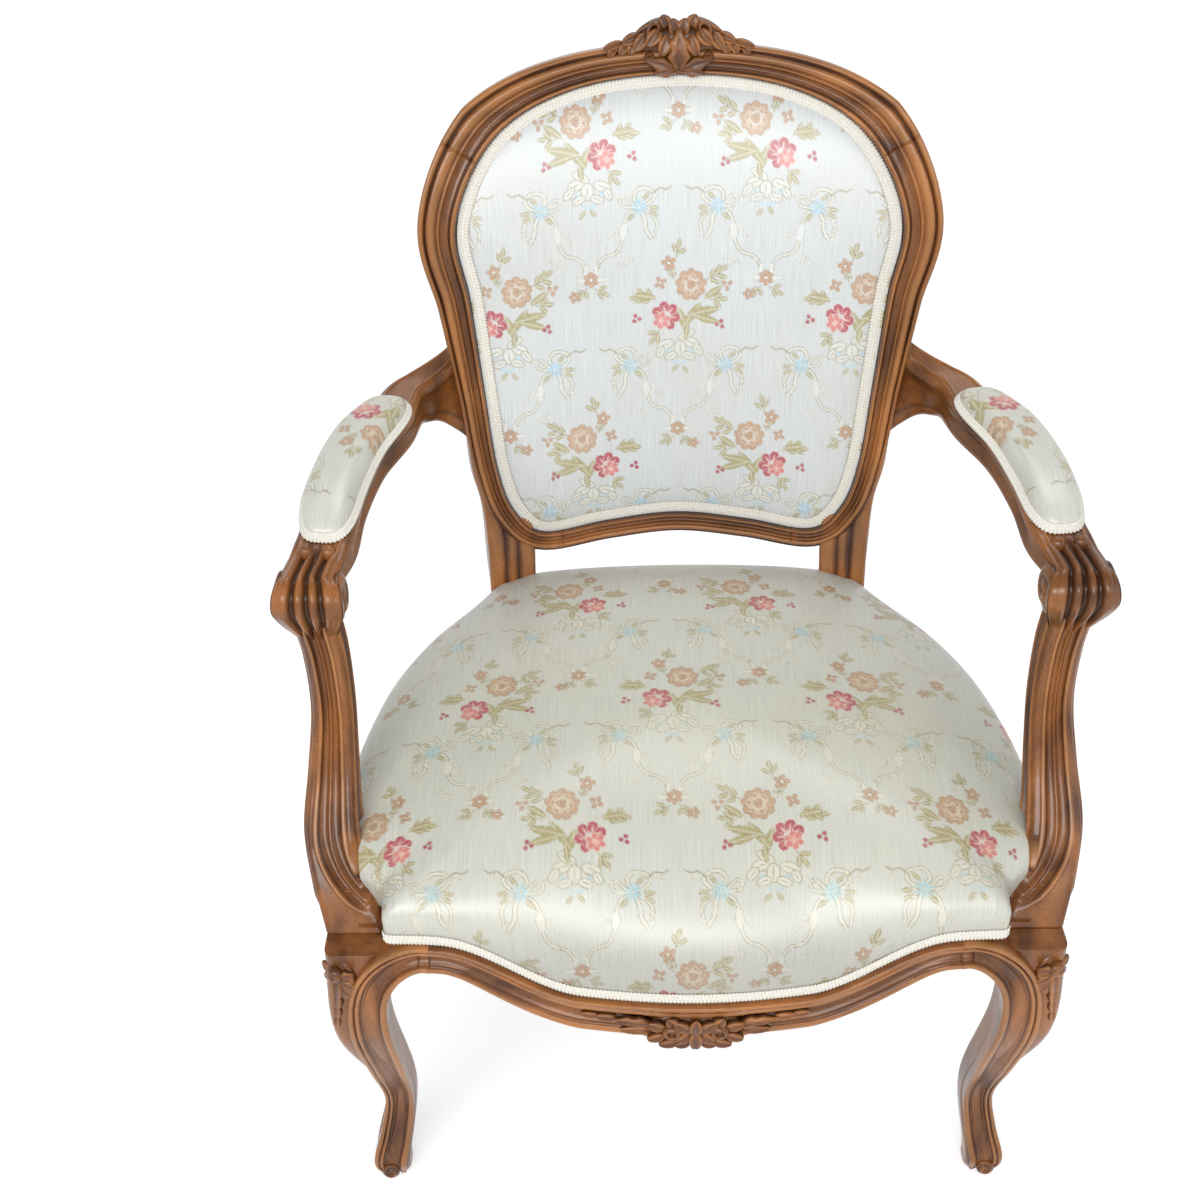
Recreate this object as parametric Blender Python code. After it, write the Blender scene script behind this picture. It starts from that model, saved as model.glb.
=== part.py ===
"""Open-armed upholstered armchair with a shaped and carved wooden frame.

The frame is built as a chair maker builds it: front legs, rear uprights, seat rails, a back loop,
arms and arm posts, joined with tenons and dowels. The seat is sprung: webbing, coil springs, hessian,
stuffing and a cover. The back and the arm pads are stuffed, covered and edged with braid.
"""

import math

import bmesh
import bpy
import numpy as np

# Lengths are in metres. X runs from side to side, the chair faces -Y and Z is up.
# Y is counted from the front feet while the pieces are made, and the chair is centred at the end.

# Fits
CLEARANCE = 0.0003
TENON_LENGTH = 0.018
TENON_ROOT = 0.013
TENON_THICKNESS = 0.009
TENON_HEIGHT = 0.018
DOWEL_RADIUS = 0.005
DOWEL_LENGTH = 0.034

# Height of the upholstery line on the side rails, from which the seat's other heights are taken
SEAT_LINE = 0.359

# Front legs: one diagonal S-curve, square in section
LEG_SPREAD = 0.2665
LEG_SETBACK = 0.022
LEG_TOP_DROP = 0.007
LEG_TOP = SEAT_LINE - LEG_TOP_DROP
KNEE_DROP = 0.107
KNEE_OUT = 0.0215
KNEE_FORWARD = 0.030
KNEE_WIDTH = 0.048
ANKLE_HEIGHT = 0.110
ANKLE_OUT = 0.0065
ANKLE_WIDTH = 0.029
TOE_HEIGHT = 0.022
TOE_OUT = 0.0205
TOE_FORWARD = 0.014
TOE_WIDTH = 0.034
SOLE_IN = 0.002
SOLE_WIDTH = 0.027
BLOCK_OUT = 0.0155
BLOCK_FORWARD = 0.0265
BLOCK_WIDTH = 0.054

# Seat rails: a moulded face, and above it a set-back strip that takes the upholstery
RAIL_THICKNESS = 0.030
STRIP_HEIGHT = 0.022
REBATE = 0.006
COVE_DEPTH = 0.005
FRONT_RAIL_SETBACK = -0.032
FRONT_RAIL_BULGE = 0.027
FRONT_RAIL_FLAT = 0.095
FRONT_RAIL_ARCH = 0.212
FRONT_EDGE_SWEEP = 1.5
FRONT_LINE_DIP = 0.0375
FRONT_LINE_LIFT = 0.0075
FRONT_LINE_MIDDLE = SEAT_LINE - FRONT_LINE_DIP
FRONT_LINE_END = SEAT_LINE + FRONT_LINE_LIFT
FRONT_MIDDLE_TALL = 0.0435
FRONT_END_TALL = 0.029
FRONT_EDGE_MIDDLE = FRONT_LINE_MIDDLE - FRONT_MIDDLE_TALL
FRONT_EDGE_END = FRONT_LINE_END - FRONT_END_TALL
FRONT_BRACKET = 0.030
RAIL_BOSS_HALF = 0.088
RAIL_BOSS_DROP = 0.015
RAIL_BOSS_RISE = 0.018
RAIL_BOSS_PROUD = 0.006
SIDE_BOW = 0.0390
SIDE_RAIL_TALL = 0.041
SIDE_EDGE = SEAT_LINE - SIDE_RAIL_TALL
SIDE_BRACKET = 0.026
REAR_RAIL_TALL = 0.047
REAR_EDGE = SEAT_LINE - REAR_RAIL_TALL

# Rear uprights: swept-back leg below the seat, side of the back loop above it
REAR_FOOT_SPREAD = 0.196
REAR_FOOT_SETBACK = 0.525
REAR_FOOT_WIDTH = 0.028
UPRIGHT_SPREAD = 0.1705
UPRIGHT_WIDTH = 0.047
UPRIGHT_DEPTH = 0.034
UPRIGHT_SETBACK = 0.406

# Back loop: leaning, hollowed towards the sitter
BACK_SETBACK = 0.430
BACK_BASE = 0.473
BACK_LEAN = math.radians(13.0)
BACK_HOLLOW = 0.70
BACK_DEPTH = 0.030
BACK_FACE_TOP = 0.0265
BACK_FACE_SHOULDER = 0.039
BACK_FACE_WIDE = 0.0355
BACK_FACE_WAIST = 0.0245
BACK_FACE_LOW = 0.028
BOTTOM_FACE = 0.0195
LEDGE = 0.0135
OPENING_BOTTOM = 0.482
OPENING_HEIGHT = 0.414
OPENING_TOP = OPENING_BOTTOM + OPENING_HEIGHT
SHOULDER_SHARE = 0.89
CREST_JOINT_SHARE = 0.845
OPENING_WIDE_SHARE = 0.72
WAIST_SHARE = 0.333
LOOP_LEAVES_SHARE = 0.152
SHOULDER_HEIGHT = OPENING_BOTTOM + SHOULDER_SHARE * OPENING_HEIGHT
CREST_JOINT = OPENING_BOTTOM + CREST_JOINT_SHARE * OPENING_HEIGHT
OPENING_WIDE_HEIGHT = OPENING_BOTTOM + OPENING_WIDE_SHARE * OPENING_HEIGHT
WAIST_HEIGHT = OPENING_BOTTOM + WAIST_SHARE * OPENING_HEIGHT
LOOP_LEAVES = OPENING_BOTTOM + LOOP_LEAVES_SHARE * OPENING_HEIGHT
OPENING_HALF = 0.2065
WAIST_HALF = 0.1885
CORNER_HALF = 0.135
CORNER_DROP = 0.012
CORNER_HEIGHT = OPENING_BOTTOM - CORNER_DROP
CREST_BOSS_HALF = 0.064
CREST_BOSS_RISE = 0.0165
CREST_BOSS_PROUD = 0.008
CREST_BOSS_DROP = 0.024

# Arms and arm posts
ARM_HEIGHT = 0.637
ARM_JOIN_DROP = 0.017
ARM_JOIN_HEIGHT = ARM_HEIGHT - ARM_JOIN_DROP
ARM_JOIN_WIDTH = 0.030
ARM_JOIN_DEPTH = 0.068
ARM_WIDTH = 0.049
ARM_THICKNESS = 0.028
ARM_BOW = 0.031
KNUCKLE_SPREAD = 0.308
KNUCKLE_SETBACK = 0.121
KNUCKLE_DROP = 0.022
KNUCKLE_HEIGHT = ARM_HEIGHT - KNUCKLE_DROP
KNUCKLE_CURL = 0.012
KNUCKLE_WIDTH = 0.058
POST_FOOT_SPREAD = 0.2895
POST_FOOT_SETBACK = 0.016
POST_WIDTH = 0.032
POST_FOOT_WIDTH = 0.042
POST_BELLY = 0.012

# Seat upholstery
SEAT_RISE = 0.098
SEAT_CROWN = SEAT_LINE + SEAT_RISE
SEAT_FRONT_FULLNESS = 1.75
SEAT_REAR_FULLNESS = 8.0
COVER = 0.0012
GIMP_WIDTH = 0.011
GIMP_THICKNESS = 0.0016
WEBBING_DROP = 0.033
WEBBING_HEIGHT = SEAT_LINE - WEBBING_DROP
WEBBING_WIDTH = 0.050
WEBBING_THICKNESS = 0.0012
WEBBING_TURN_UP = 0.020
WEBBING_PITCH = 0.078
WEBBING_SET_IN = 0.0015
SPRING_RADIUS = 0.031
SPRING_WIRE = 0.0017
SPRING_TURNS = 3
HESSIAN_RISE = 0.039
HESSIAN_HEIGHT = SEAT_LINE + HESSIAN_RISE
HESSIAN = 0.001
HESSIAN_EDGE = 0.93
HESSIAN_FLAT = 0.66
DUST_COVER = 0.0008

# Back and arm upholstery
BACK_CROWN = 0.020
REAR_CROWN = 0.005
BACK_FLAT = 0.2
PAD_HALF_LENGTH = 0.104
PAD_HALF_WIDTH = 0.0185
PAD_HEIGHT = 0.020
PAD_MIDDLE = 0.545

# Corner blocks and their screws
CORNER_BLOCK = 0.068
CORNER_BLOCK_TALL = 0.026
CORNER_BLOCK_DROP = 0.025
CORNER_BLOCK_LOW = SEAT_LINE - CORNER_BLOCK_DROP
CORNER_BLOCK_HIGH = CORNER_BLOCK_LOW + CORNER_BLOCK_TALL
SCREW_RADIUS = 0.002
SCREW_HEAD_RADIUS = 0.0042
SCREW_HEAD_HEIGHT = 0.0024
SCREW_LENGTH = 0.040

# How finely curves are divided
LOOP_STEPS = 2
BAR_STEPS = 3

UP = np.array((0.0, 0.0, 1.0))
ACROSS = np.array((1.0, 0.0, 0.0))
FORWARD = np.array((0.0, -1.0, 0.0))
SIDES = (("left", -1.0), ("right", 1.0))


def clear_scene():
    """Remove every object that the file starts with."""
    for item in list(bpy.data.objects):
        bpy.data.objects.remove(item, do_unlink=True)


def make_material(name, colour, roughness, metallic=0.0):
    """A plain surface of one colour."""
    finish = bpy.data.materials.new(name)
    finish.use_nodes = True
    shader = finish.node_tree.nodes["Principled BSDF"]
    shader.inputs["Base Color"].default_value = (*colour, 1.0)
    shader.inputs["Roughness"].default_value = roughness
    shader.inputs["Metallic"].default_value = metallic
    return finish


def unit(vectors):
    """Vectors of the same direction and length one."""
    return vectors / np.linalg.norm(vectors, axis=-1, keepdims=True)


def ease(share):
    """A smooth step from 0 to 1."""
    share = np.clip(share, 0.0, 1.0)
    return share * share * (3.0 - 2.0 * share)


def smooth(rows, steps, closed=False):
    """Rows of a curve that passes smoothly through the given rows."""
    rows = np.array(rows, float)
    if closed:
        padded = np.vstack((rows[-1:], rows, rows[:2]))
    else:
        padded = np.vstack((2 * rows[0] - rows[1], rows, 2 * rows[-1] - rows[-2]))
    share = (np.arange(steps) / steps)[:, None]
    spans = []
    for before, start, end, after in zip(padded, padded[1:], padded[2:], padded[3:]):
        linear = (end - before) * share
        square = (2 * before - 5 * start + 4 * end - after) * share**2
        cube = (3 * start - before - 3 * end + after) * share**3
        spans.append(0.5 * (2 * start + linear + square + cube))
    if not closed:
        spans.append(rows[-1:])
    return np.vstack(spans)


def grown(outline, amount):
    """A closed outline moved outwards by an amount, with its corners kept."""
    before = unit(outline - np.roll(outline, 1, axis=0))
    after = unit(np.roll(outline, -1, axis=0) - outline)
    following = np.roll(outline, -1, axis=0)
    turn = np.sign(np.sum(outline[:, 0] * following[:, 1] - outline[:, 1] * following[:, 0]))
    normals = [np.stack((edge[:, 1], -edge[:, 0]), axis=1) for edge in (before, after)]
    mitre = (normals[0] + normals[1]) / (1.0 + np.sum(normals[0] * normals[1], axis=1))[:, None]
    return outline + amount * turn * mitre


def rounded_box(width, depth, share=0.28):
    """Outline of a bar: a rectangle with its corners taken off."""
    radius = share * min(width, depth)
    points = []
    for quarter in range(4):
        right = 1.0 if quarter in (0, 3) else -1.0
        top = 1.0 if quarter in (0, 1) else -1.0
        centre = np.array((right * (width / 2 - radius), top * (depth / 2 - radius)))
        for angle in (quarter * math.pi / 2, (quarter + 1) * math.pi / 2):
            points.append(centre + radius * np.array((math.cos(angle), math.sin(angle))))
    return np.array(points)


def close_across(work, corners):
    """Close a ring with strips across it, so that the closing follows the ring's bend."""
    last = len(corners) // 2 - 1
    for i in range(last + 1):
        near, far = (corners[i], corners[i + 1]), (corners[-i], corners[-1 - i])
        if i < last:
            work.faces.new((near[0], near[1], far[1]))
        if i > 0:
            work.faces.new((near[0], near[1] if i == last else far[1], far[0]))


def close_between(work, lower, upper, turned):
    """Close the band between two rings; turned bands have their faces split the other way."""
    for i in range(len(lower)):
        near, far = (lower[i - 1], lower[i]), (upper[i - 1], upper[i])
        work.faces.new((near[0], near[1], far[0] if turned else far[1]))
        work.faces.new((near[1] if turned else near[0], far[1], far[0]))


def loft(name, rings, finish=None, endless=False, strips=False, turned=0):
    """One closed body through a row of rings with equal numbers of points."""
    mesh = bpy.data.meshes.new(name)
    work = bmesh.new()
    corners = [[work.verts.new(point) for point in ring] for ring in rings]
    for row, (lower, upper) in enumerate(zip(corners, corners[1:])):
        close_between(work, lower, upper, row < turned)
    if endless:
        close_between(work, corners[-1], corners[0], False)
    elif strips:
        close_across(work, corners[0])
        close_across(work, corners[-1])
    else:
        work.faces.new(corners[0])
        work.faces.new(corners[-1])
    bmesh.ops.recalc_face_normals(work, faces=work.faces)
    work.to_mesh(mesh)
    work.free()
    mesh.shade_smooth()
    mesh.set_sharp_from_angle(angle=math.radians(40.0))
    if finish:
        mesh.materials.append(finish)
    piece = bpy.data.objects.new(name, mesh)
    bpy.context.scene.collection.objects.link(piece)
    return piece


def cutter(name, rings, endless=False):
    """A body that only shapes other pieces."""
    tool = loft(name, rings, endless=endless)
    tool.hide_render = True
    tool.display_type = "WIRE"
    return tool


def combine(piece, tool, operation):
    """Cut a tool out of a piece, or join it on."""
    modifier = piece.modifiers.new(tool.name, "BOOLEAN")
    modifier.operation = operation
    modifier.solver = "EXACT"
    modifier.object = tool


def cut(piece, *tools):
    """Cut every tool out of a piece."""
    for tool in tools:
        combine(piece, tool, "DIFFERENCE")


def block_rings(start, end, side, width, height, grow=0.0):
    """Two end rectangles of a straight bar; side is the direction of its width."""
    start = np.array(start, float)
    end = np.array(end, float)
    along = unit(end - start)
    across = unit(np.array(side, float) - np.dot(side, along) * along)
    rise = np.cross(along, across)
    corners = np.array(((1, 1), (-1, 1), (-1, -1), (1, -1)), float)
    corners *= (width / 2 + grow, height / 2 + grow)
    outline = corners @ np.stack((across, rise))
    return [start - grow * along + outline, end + grow * along + outline]


def pin_rings(start, end, radii, grow=0.0, points=10):
    """Rings of a turned pin; radii holds pairs of length share and radius."""
    start = np.array(start, float)
    end = np.array(end, float)
    along = unit(end - start)
    across = unit(np.cross(along, UP if abs(along[2]) < 0.9 else ACROSS))
    rise = np.cross(along, across)
    angles = np.linspace(0.0, 2 * math.pi, points, endpoint=False)
    circle = np.stack((np.cos(angles), np.sin(angles)), axis=1) @ np.stack((across, rise))
    rings = [start + share * (end - start) + (radius + grow) * circle for share, radius in radii]
    rings[0] = rings[0] - grow * along
    rings[-1] = rings[-1] + grow * along
    return rings


def tenon(piece, seat, start, along, side):
    """A tenon on one piece and its mortise in the other."""
    start = np.array(start, float)
    along = unit(np.array(along, float))
    root = start - TENON_ROOT * along
    tip = start + TENON_LENGTH * along
    size = (TENON_THICKNESS, TENON_HEIGHT)
    tongue = cutter(f"tenon_{piece.name}_{seat.name}", block_rings(root, tip, side, *size))
    combine(piece, tongue, "UNION")
    mortise = block_rings(root, tip, side, *size, grow=CLEARANCE)
    cut(seat, cutter(f"mortise_{piece.name}_{seat.name}", mortise))


def dowel(name, middle, along, seats, finish):
    """A dowel and the holes that it fills."""
    middle = np.array(middle, float)
    reach = unit(np.array(along, float)) * DOWEL_LENGTH / 2
    radii = ((0.0, DOWEL_RADIUS), (1.0, DOWEL_RADIUS))
    loft(name, pin_rings(middle - reach, middle + reach, radii), finish)
    hole = cutter(f"hole_{name}", pin_rings(middle - reach, middle + reach, radii, CLEARANCE))
    for seat in seats:
        cut(seat, hole)


def bar_rings(rows, across, through, grow=0.0):
    """Rings of a bar; each row is x, y, z, width and depth."""
    along = unit(np.gradient(rows[:, :3], axis=0))
    rings = []
    for row, side, face in zip(rows, across, through):
        outline = rounded_box(row[3] + 2 * grow, row[4] + 2 * grow)
        rings.append(row[:3] + outline @ np.stack((side, face)))
    rings[0] = rings[0] - grow * along[0]
    rings[-1] = rings[-1] + grow * along[-1]
    return rings


def bar_frames(rows, hint):
    """Width and depth directions square to a bar's path."""
    along = unit(np.gradient(rows[:, :3], axis=0))
    across = unit(np.cross(along, hint))
    return across, np.cross(across, along)


def mirrored(rows, side):
    """Rows made for the right-hand side, for the named side."""
    return rows * np.array((side,) + (1.0,) * (rows.shape[1] - 1))


# Front legs


def leg_rows(side):
    """Centre, width and depth of a front leg from the sole up."""
    shape = smooth(
        (
            (TOE_OUT - SOLE_IN, TOE_FORWARD - SOLE_IN, 0.0, SOLE_WIDTH),
            (TOE_OUT, TOE_FORWARD, TOE_HEIGHT, TOE_WIDTH),
            (ANKLE_OUT, 0.0, ANKLE_HEIGHT, ANKLE_WIDTH),
            (KNEE_OUT, KNEE_FORWARD, LEG_TOP - KNEE_DROP, KNEE_WIDTH),
            (BLOCK_OUT, BLOCK_FORWARD, LEG_TOP, BLOCK_WIDTH),
        ),
        BAR_STEPS,
    )
    out, forward, height, width = shape.T
    rows = np.stack((LEG_SPREAD + out, LEG_SETBACK - forward, height, width, width), axis=1)
    return mirrored(rows, side)


def level_rings(rows, grow=0.0):
    """Rings of a standing bar, each of them level."""
    count = len(rows)
    return bar_rings(rows, np.tile(ACROSS, (count, 1)), np.tile(FORWARD, (count, 1)), grow)


# Back loop and rear uprights


def on_back(across, height, depth):
    """Points of the leaning, hollowed back; depth is counted backwards from its front face."""
    across = np.asarray(across, float)
    height = np.asarray(height, float)
    depth = np.asarray(depth, float)
    lean = math.tan(BACK_LEAN) * (height - BACK_BASE)
    hollow = across**2 / (2 * BACK_HOLLOW)
    setback = BACK_SETBACK + lean - hollow + depth * math.cos(BACK_LEAN)
    rise = height - depth * math.sin(BACK_LEAN)
    return np.stack(np.broadcast_arrays(across, setback, rise), axis=-1)


def flat_on_back(across, height, depth):
    """Points on the back's middle line, moved straight sideways."""
    points = on_back(np.zeros(len(across)), height, depth)
    points[:, 0] = across
    return points


def back_loop():
    """Inner edge of the back's wood, from the top middle and clockwise, with outward normals."""
    half = (
        (0.0, OPENING_TOP),
        (0.48 * OPENING_HALF, OPENING_TOP - 0.0105),
        (0.82 * OPENING_HALF, OPENING_TOP - 0.046),
        (OPENING_HALF, OPENING_WIDE_HEIGHT),
        ((OPENING_HALF + WAIST_HALF) / 2, (OPENING_WIDE_HEIGHT + WAIST_HEIGHT) / 2 + 0.008),
        (WAIST_HALF, WAIST_HEIGHT),
        (WAIST_HALF - 0.0085, LOOP_LEAVES),
        (CORNER_HALF + 0.030, CORNER_HEIGHT + 0.027),
        (CORNER_HALF, CORNER_HEIGHT),
        (0.52 * CORNER_HALF, (CORNER_HEIGHT + OPENING_BOTTOM) / 2),
        (0.0, OPENING_BOTTOM),
    )
    outline = half + tuple((-x, z) for x, z in half[-2:0:-1])
    loop = smooth(outline, LOOP_STEPS, closed=True)
    along = unit(np.roll(loop, -1, axis=0) - np.roll(loop, 1, axis=0))
    return loop, np.stack((-along[:, 1], along[:, 0]), axis=1)


def face_width(height):
    """Width of the back's wooden face at a height."""
    heights = (LOOP_LEAVES, WAIST_HEIGHT, OPENING_WIDE_HEIGHT, SHOULDER_HEIGHT, OPENING_TOP)
    widths = (BACK_FACE_LOW, BACK_FACE_WAIST, BACK_FACE_WIDE, BACK_FACE_SHOULDER, BACK_FACE_TOP)
    return np.interp(height, heights, widths)


def loop_section(face):
    """Moulded outline of the loop: a ledge on each side for the upholstery, a cove and round edges."""
    edge = 0.005
    return np.array(
        (
            (-LEDGE, REBATE),
            (0.0, REBATE),
            (0.0, 0.0),
            (0.16 * face, 0.0),
            (0.45 * face, COVE_DEPTH),
            (0.72 * face, 0.0),
            (face - edge / 2, 0.0),
            (face, edge),
            (face, BACK_DEPTH - edge),
            (face - edge, BACK_DEPTH),
            (0.0, BACK_DEPTH),
            (0.0, BACK_DEPTH - REBATE),
            (-LEDGE, BACK_DEPTH - REBATE),
        )
    )


def loop_ring(point, normal, outline):
    """One ring of a piece that follows the loop."""
    across = point[0] + outline[:, 0] * normal[0]
    height = point[1] + outline[:, 0] * normal[1]
    return on_back(across, height, outline[:, 1])


def joint_index(loop):
    """Number of the loop point where the crest meets the right-hand upright."""
    return int(np.argmax(loop[:, 1] < CREST_JOINT))


def upright_stations(side):
    """Centre, width direction, depth direction, width and depth down a rear upright."""
    loop, normals = back_loop()
    start = joint_index(loop)
    end = int(np.argmax(loop[:, 1] < LOOP_LEAVES + 0.003))
    lean = np.array((0.0, math.cos(BACK_LEAN), -math.sin(BACK_LEAN)))
    stations = []
    for index in range(start, end):
        point, normal = loop[index], normals[index]
        face = face_width(point[1])
        middle = (face - LEDGE) / 2
        ends = on_back(point[0] + np.array((-LEDGE, face)) * normal[0],
                       point[1] + np.array((-LEDGE, face)) * normal[1], 0.0)
        centre = on_back(point[0] + middle * normal[0], point[1] + middle * normal[1], BACK_DEPTH / 2)
        stations.append((centre, unit(ends[1] - ends[0]), lean, face + LEDGE, BACK_DEPTH))
    knee = SEAT_LINE
    lower = smooth(
        (
            (*on_back(UPRIGHT_SPREAD + 0.004, CORNER_HEIGHT + 0.030, BACK_DEPTH / 2),
             UPRIGHT_WIDTH, BACK_DEPTH),
            (*on_back(UPRIGHT_SPREAD, CORNER_HEIGHT - 0.040, BACK_DEPTH / 2),
             UPRIGHT_WIDTH, UPRIGHT_DEPTH),
            (UPRIGHT_SPREAD, UPRIGHT_SETBACK, knee, UPRIGHT_WIDTH - 0.003, UPRIGHT_DEPTH + 0.002),
            (0.7 * UPRIGHT_SPREAD + 0.3 * REAR_FOOT_SPREAD, UPRIGHT_SETBACK + 0.010, 0.74 * knee,
             UPRIGHT_WIDTH - 0.009, UPRIGHT_DEPTH + 0.001),
            (0.35 * UPRIGHT_SPREAD + 0.65 * REAR_FOOT_SPREAD,
             0.55 * UPRIGHT_SETBACK + 0.45 * REAR_FOOT_SETBACK, 0.36 * knee,
             0.3 * UPRIGHT_WIDTH + 0.7 * REAR_FOOT_WIDTH, 0.2 * UPRIGHT_DEPTH + 0.8 * REAR_FOOT_WIDTH),
            (REAR_FOOT_SPREAD, REAR_FOOT_SETBACK, 0.0, REAR_FOOT_WIDTH, REAR_FOOT_WIDTH),
        ),
        BAR_STEPS - 1,
    )
    for row in lower:
        blend = ease((row[2] - knee) / (CORNER_HEIGHT - knee))
        face = unit(blend * lean - (1.0 - blend) * FORWARD)
        stations.append((row[:3], ACROSS, face, row[3], row[4]))
    flip = np.array((side, 1.0, 1.0))
    return [(centre * flip, across * flip, face, width, depth)
            for centre, across, face, width, depth in stations]


def upright_rings(side, grow=0.0):
    """Rings of a rear upright from the crest joint down to the foot."""
    stations = upright_stations(side)
    rings = []
    for centre, across, face, width, depth in stations:
        outline = rounded_box(width + 2 * grow, depth + 2 * grow, 0.2)
        rings.append(centre + outline @ np.stack((across, face)))
    top = unit(stations[0][0] - stations[1][0])
    rings[0] = rings[0] + (grow - CLEARANCE) * top
    rings[-1] = rings[-1] - grow * UP
    return rings


def upright_at(height, side):
    """Centre of a rear upright at a height."""
    centres = np.array([station[0] for station in upright_stations(side)])[::-1]
    return np.array([np.interp(height, centres[:, 2], centres[:, axis]) for axis in range(3)])


def crest_rings():
    """Rings of the crest rail over the top of the loop."""
    loop, normals = back_loop()
    joint = joint_index(loop)
    picks = range(-joint, joint + 1)
    return [loop_ring(loop[i], normals[i], loop_section(face_width(loop[i][1]))) for i in picks]


def boss_rings():
    """Rings of the carved cluster in the middle of the crest, from its back to its front."""
    top = OPENING_TOP + BACK_FACE_TOP
    half, rise, drop = CREST_BOSS_HALF, CREST_BOSS_RISE, CREST_BOSS_DROP
    right = (
        (0.05 * half, top - drop),
        (0.16 * half, top - 0.62 * drop),
        (0.42 * half, top - 0.30 * drop),
        (half, top - 0.16 * drop),
        (0.82 * half, top + 0.19 * rise),
        (0.56 * half, top + 0.52 * rise),
        (0.30 * half, top + rise),
        (0.08 * half, top + 0.92 * rise),
    )
    outline = np.array(right + tuple((-x, z) for x, z in right[::-1]))
    middle = np.array((0.0, top - 0.1 * drop))
    layers = ((BACK_DEPTH * 0.72, 0.9), (CREST_BOSS_PROUD * 0.2, 1.0), (-CREST_BOSS_PROUD, 0.72))
    rings = []
    for depth, share in layers:
        ring = middle + share * (outline - middle)
        rings.append(on_back(ring[:, 0], ring[:, 1], depth))
    return rings


def bottom_rail_rings():
    """Rings of the rail under the back opening, running into both uprights."""
    loop, normals = back_loop()
    reach = UPRIGHT_SPREAD - 0.4 * UPRIGHT_WIDTH
    picks = [i for i in range(len(loop)) if loop[i, 1] < LOOP_LEAVES and abs(loop[i, 0]) < reach]
    return [loop_ring(loop[i], normals[i], loop_section(BOTTOM_FACE)) for i in picks]


def rebate_rings(front):
    """Endless ring-shaped tool that sinks the upholstery ledge into the uprights."""
    loop, normals = back_loop()
    near, far = (-0.02, REBATE) if front else (BACK_DEPTH - REBATE, BACK_DEPTH + 0.02)
    outline = np.array(((-2.2 * LEDGE, near), (0.0, near), (0.0, far), (-2.2 * LEDGE, far)))
    return [loop_ring(point, normal, outline) for point, normal in zip(loop, normals)]


def opening_rings():
    """Rings of the hole through the back that the stuffing fills."""
    loop, normals = back_loop()
    return [on_back(*(loop - LEDGE * normals).T, depth) for depth in (-BACK_DEPTH, 2 * BACK_DEPTH)]


# Seat rails


def leg_inner():
    """Where a front rail meets the inner face of its leg."""
    return LEG_SPREAD + BLOCK_OUT - BLOCK_WIDTH / 2


def front_face(across):
    """Setback of the front rail's face: a bell-shaped bulge between the legs."""
    bell = 0.5 + 0.5 * np.cos(math.pi * np.clip(np.abs(across) / leg_inner(), 0.0, 1.0))
    return FRONT_RAIL_SETBACK - FRONT_RAIL_BULGE * bell


def front_rise(across):
    """Share of the way from the front rail's low middle to its high ends."""
    return np.clip((np.abs(across) - FRONT_RAIL_FLAT) / (FRONT_RAIL_ARCH - FRONT_RAIL_FLAT), 0.0, 1.0)


def front_line(across):
    """Height of the front rail's upholstery line."""
    return FRONT_LINE_MIDDLE + (FRONT_LINE_END - FRONT_LINE_MIDDLE) * ease(front_rise(across))


def front_edge(across):
    """Height of the front rail's lower edge, which turns down into the legs."""
    bracket = ease((np.abs(across) - FRONT_RAIL_ARCH) / (leg_inner() - FRONT_RAIL_ARCH))
    rise = (FRONT_EDGE_END - FRONT_EDGE_MIDDLE) * front_rise(across) ** FRONT_EDGE_SWEEP
    return FRONT_EDGE_MIDDLE + rise - FRONT_BRACKET * bracket


def side_path(side):
    """Face of a side rail in plan, from inside the front leg to inside the rear upright."""
    front = np.array((LEG_SPREAD + BLOCK_OUT + 0.4 * BLOCK_WIDTH,
                      LEG_SETBACK - BLOCK_FORWARD + 0.38 * BLOCK_WIDTH))
    rear = np.array((UPRIGHT_SPREAD + 0.45 * UPRIGHT_WIDTH, UPRIGHT_SETBACK))
    run = rear - front
    bows = ((0.0, 0.0), (0.17, 0.62), (0.29, 0.94), (0.43, 1.10), (0.58, 1.10), (0.74, 0.82),
            (0.89, 0.30), (1.0, 0.0))
    rows = [front + share * run + bow * SIDE_BOW * np.array((1.0, 0.35)) for share, bow in bows]
    return mirrored(np.array(rows), side)


def rail_section(line, edge):
    """Moulded outline of a seat rail: strip, face with a cove, and rounded lower edge."""
    tall = line - edge
    return np.array(
        (
            (-RAIL_THICKNESS, line + STRIP_HEIGHT),
            (-RAIL_THICKNESS, edge),
            (-0.004, edge),
            (0.0, edge + 0.004),
            (0.0, edge + 0.22 * tall),
            (-COVE_DEPTH, edge + 0.55 * tall),
            (0.0, line - 0.16 * tall),
            (0.0, line),
            (-REBATE, line),
            (-REBATE, line + STRIP_HEIGHT),
        )
    )


def plan_normals(path, outward):
    """Level directions square to a plan path, on its outer side."""
    along = unit(np.gradient(path, axis=0))
    normals = np.stack((along[:, 1], -along[:, 0]), axis=1)
    return normals * np.sign(normals @ np.array(outward))[:, None]


def rail_rings(path, lines, edges, outward, grow=0.0):
    """Rings of a rail whose face follows a plan path."""
    along = unit(np.gradient(path, axis=0))
    normals = plan_normals(path, outward)
    places = path.copy()
    places[0] = places[0] - grow * along[0]
    places[-1] = places[-1] + grow * along[-1]
    rings = []
    for place, normal, line, edge in zip(places, normals, lines, edges):
        outline = grown(rail_section(line, edge), grow)
        ring = np.empty((len(outline), 3))
        ring[:, :2] = place + outline[:, :1] * normal
        ring[:, 2] = outline[:, 1]
        rings.append(ring)
    return rings


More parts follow.
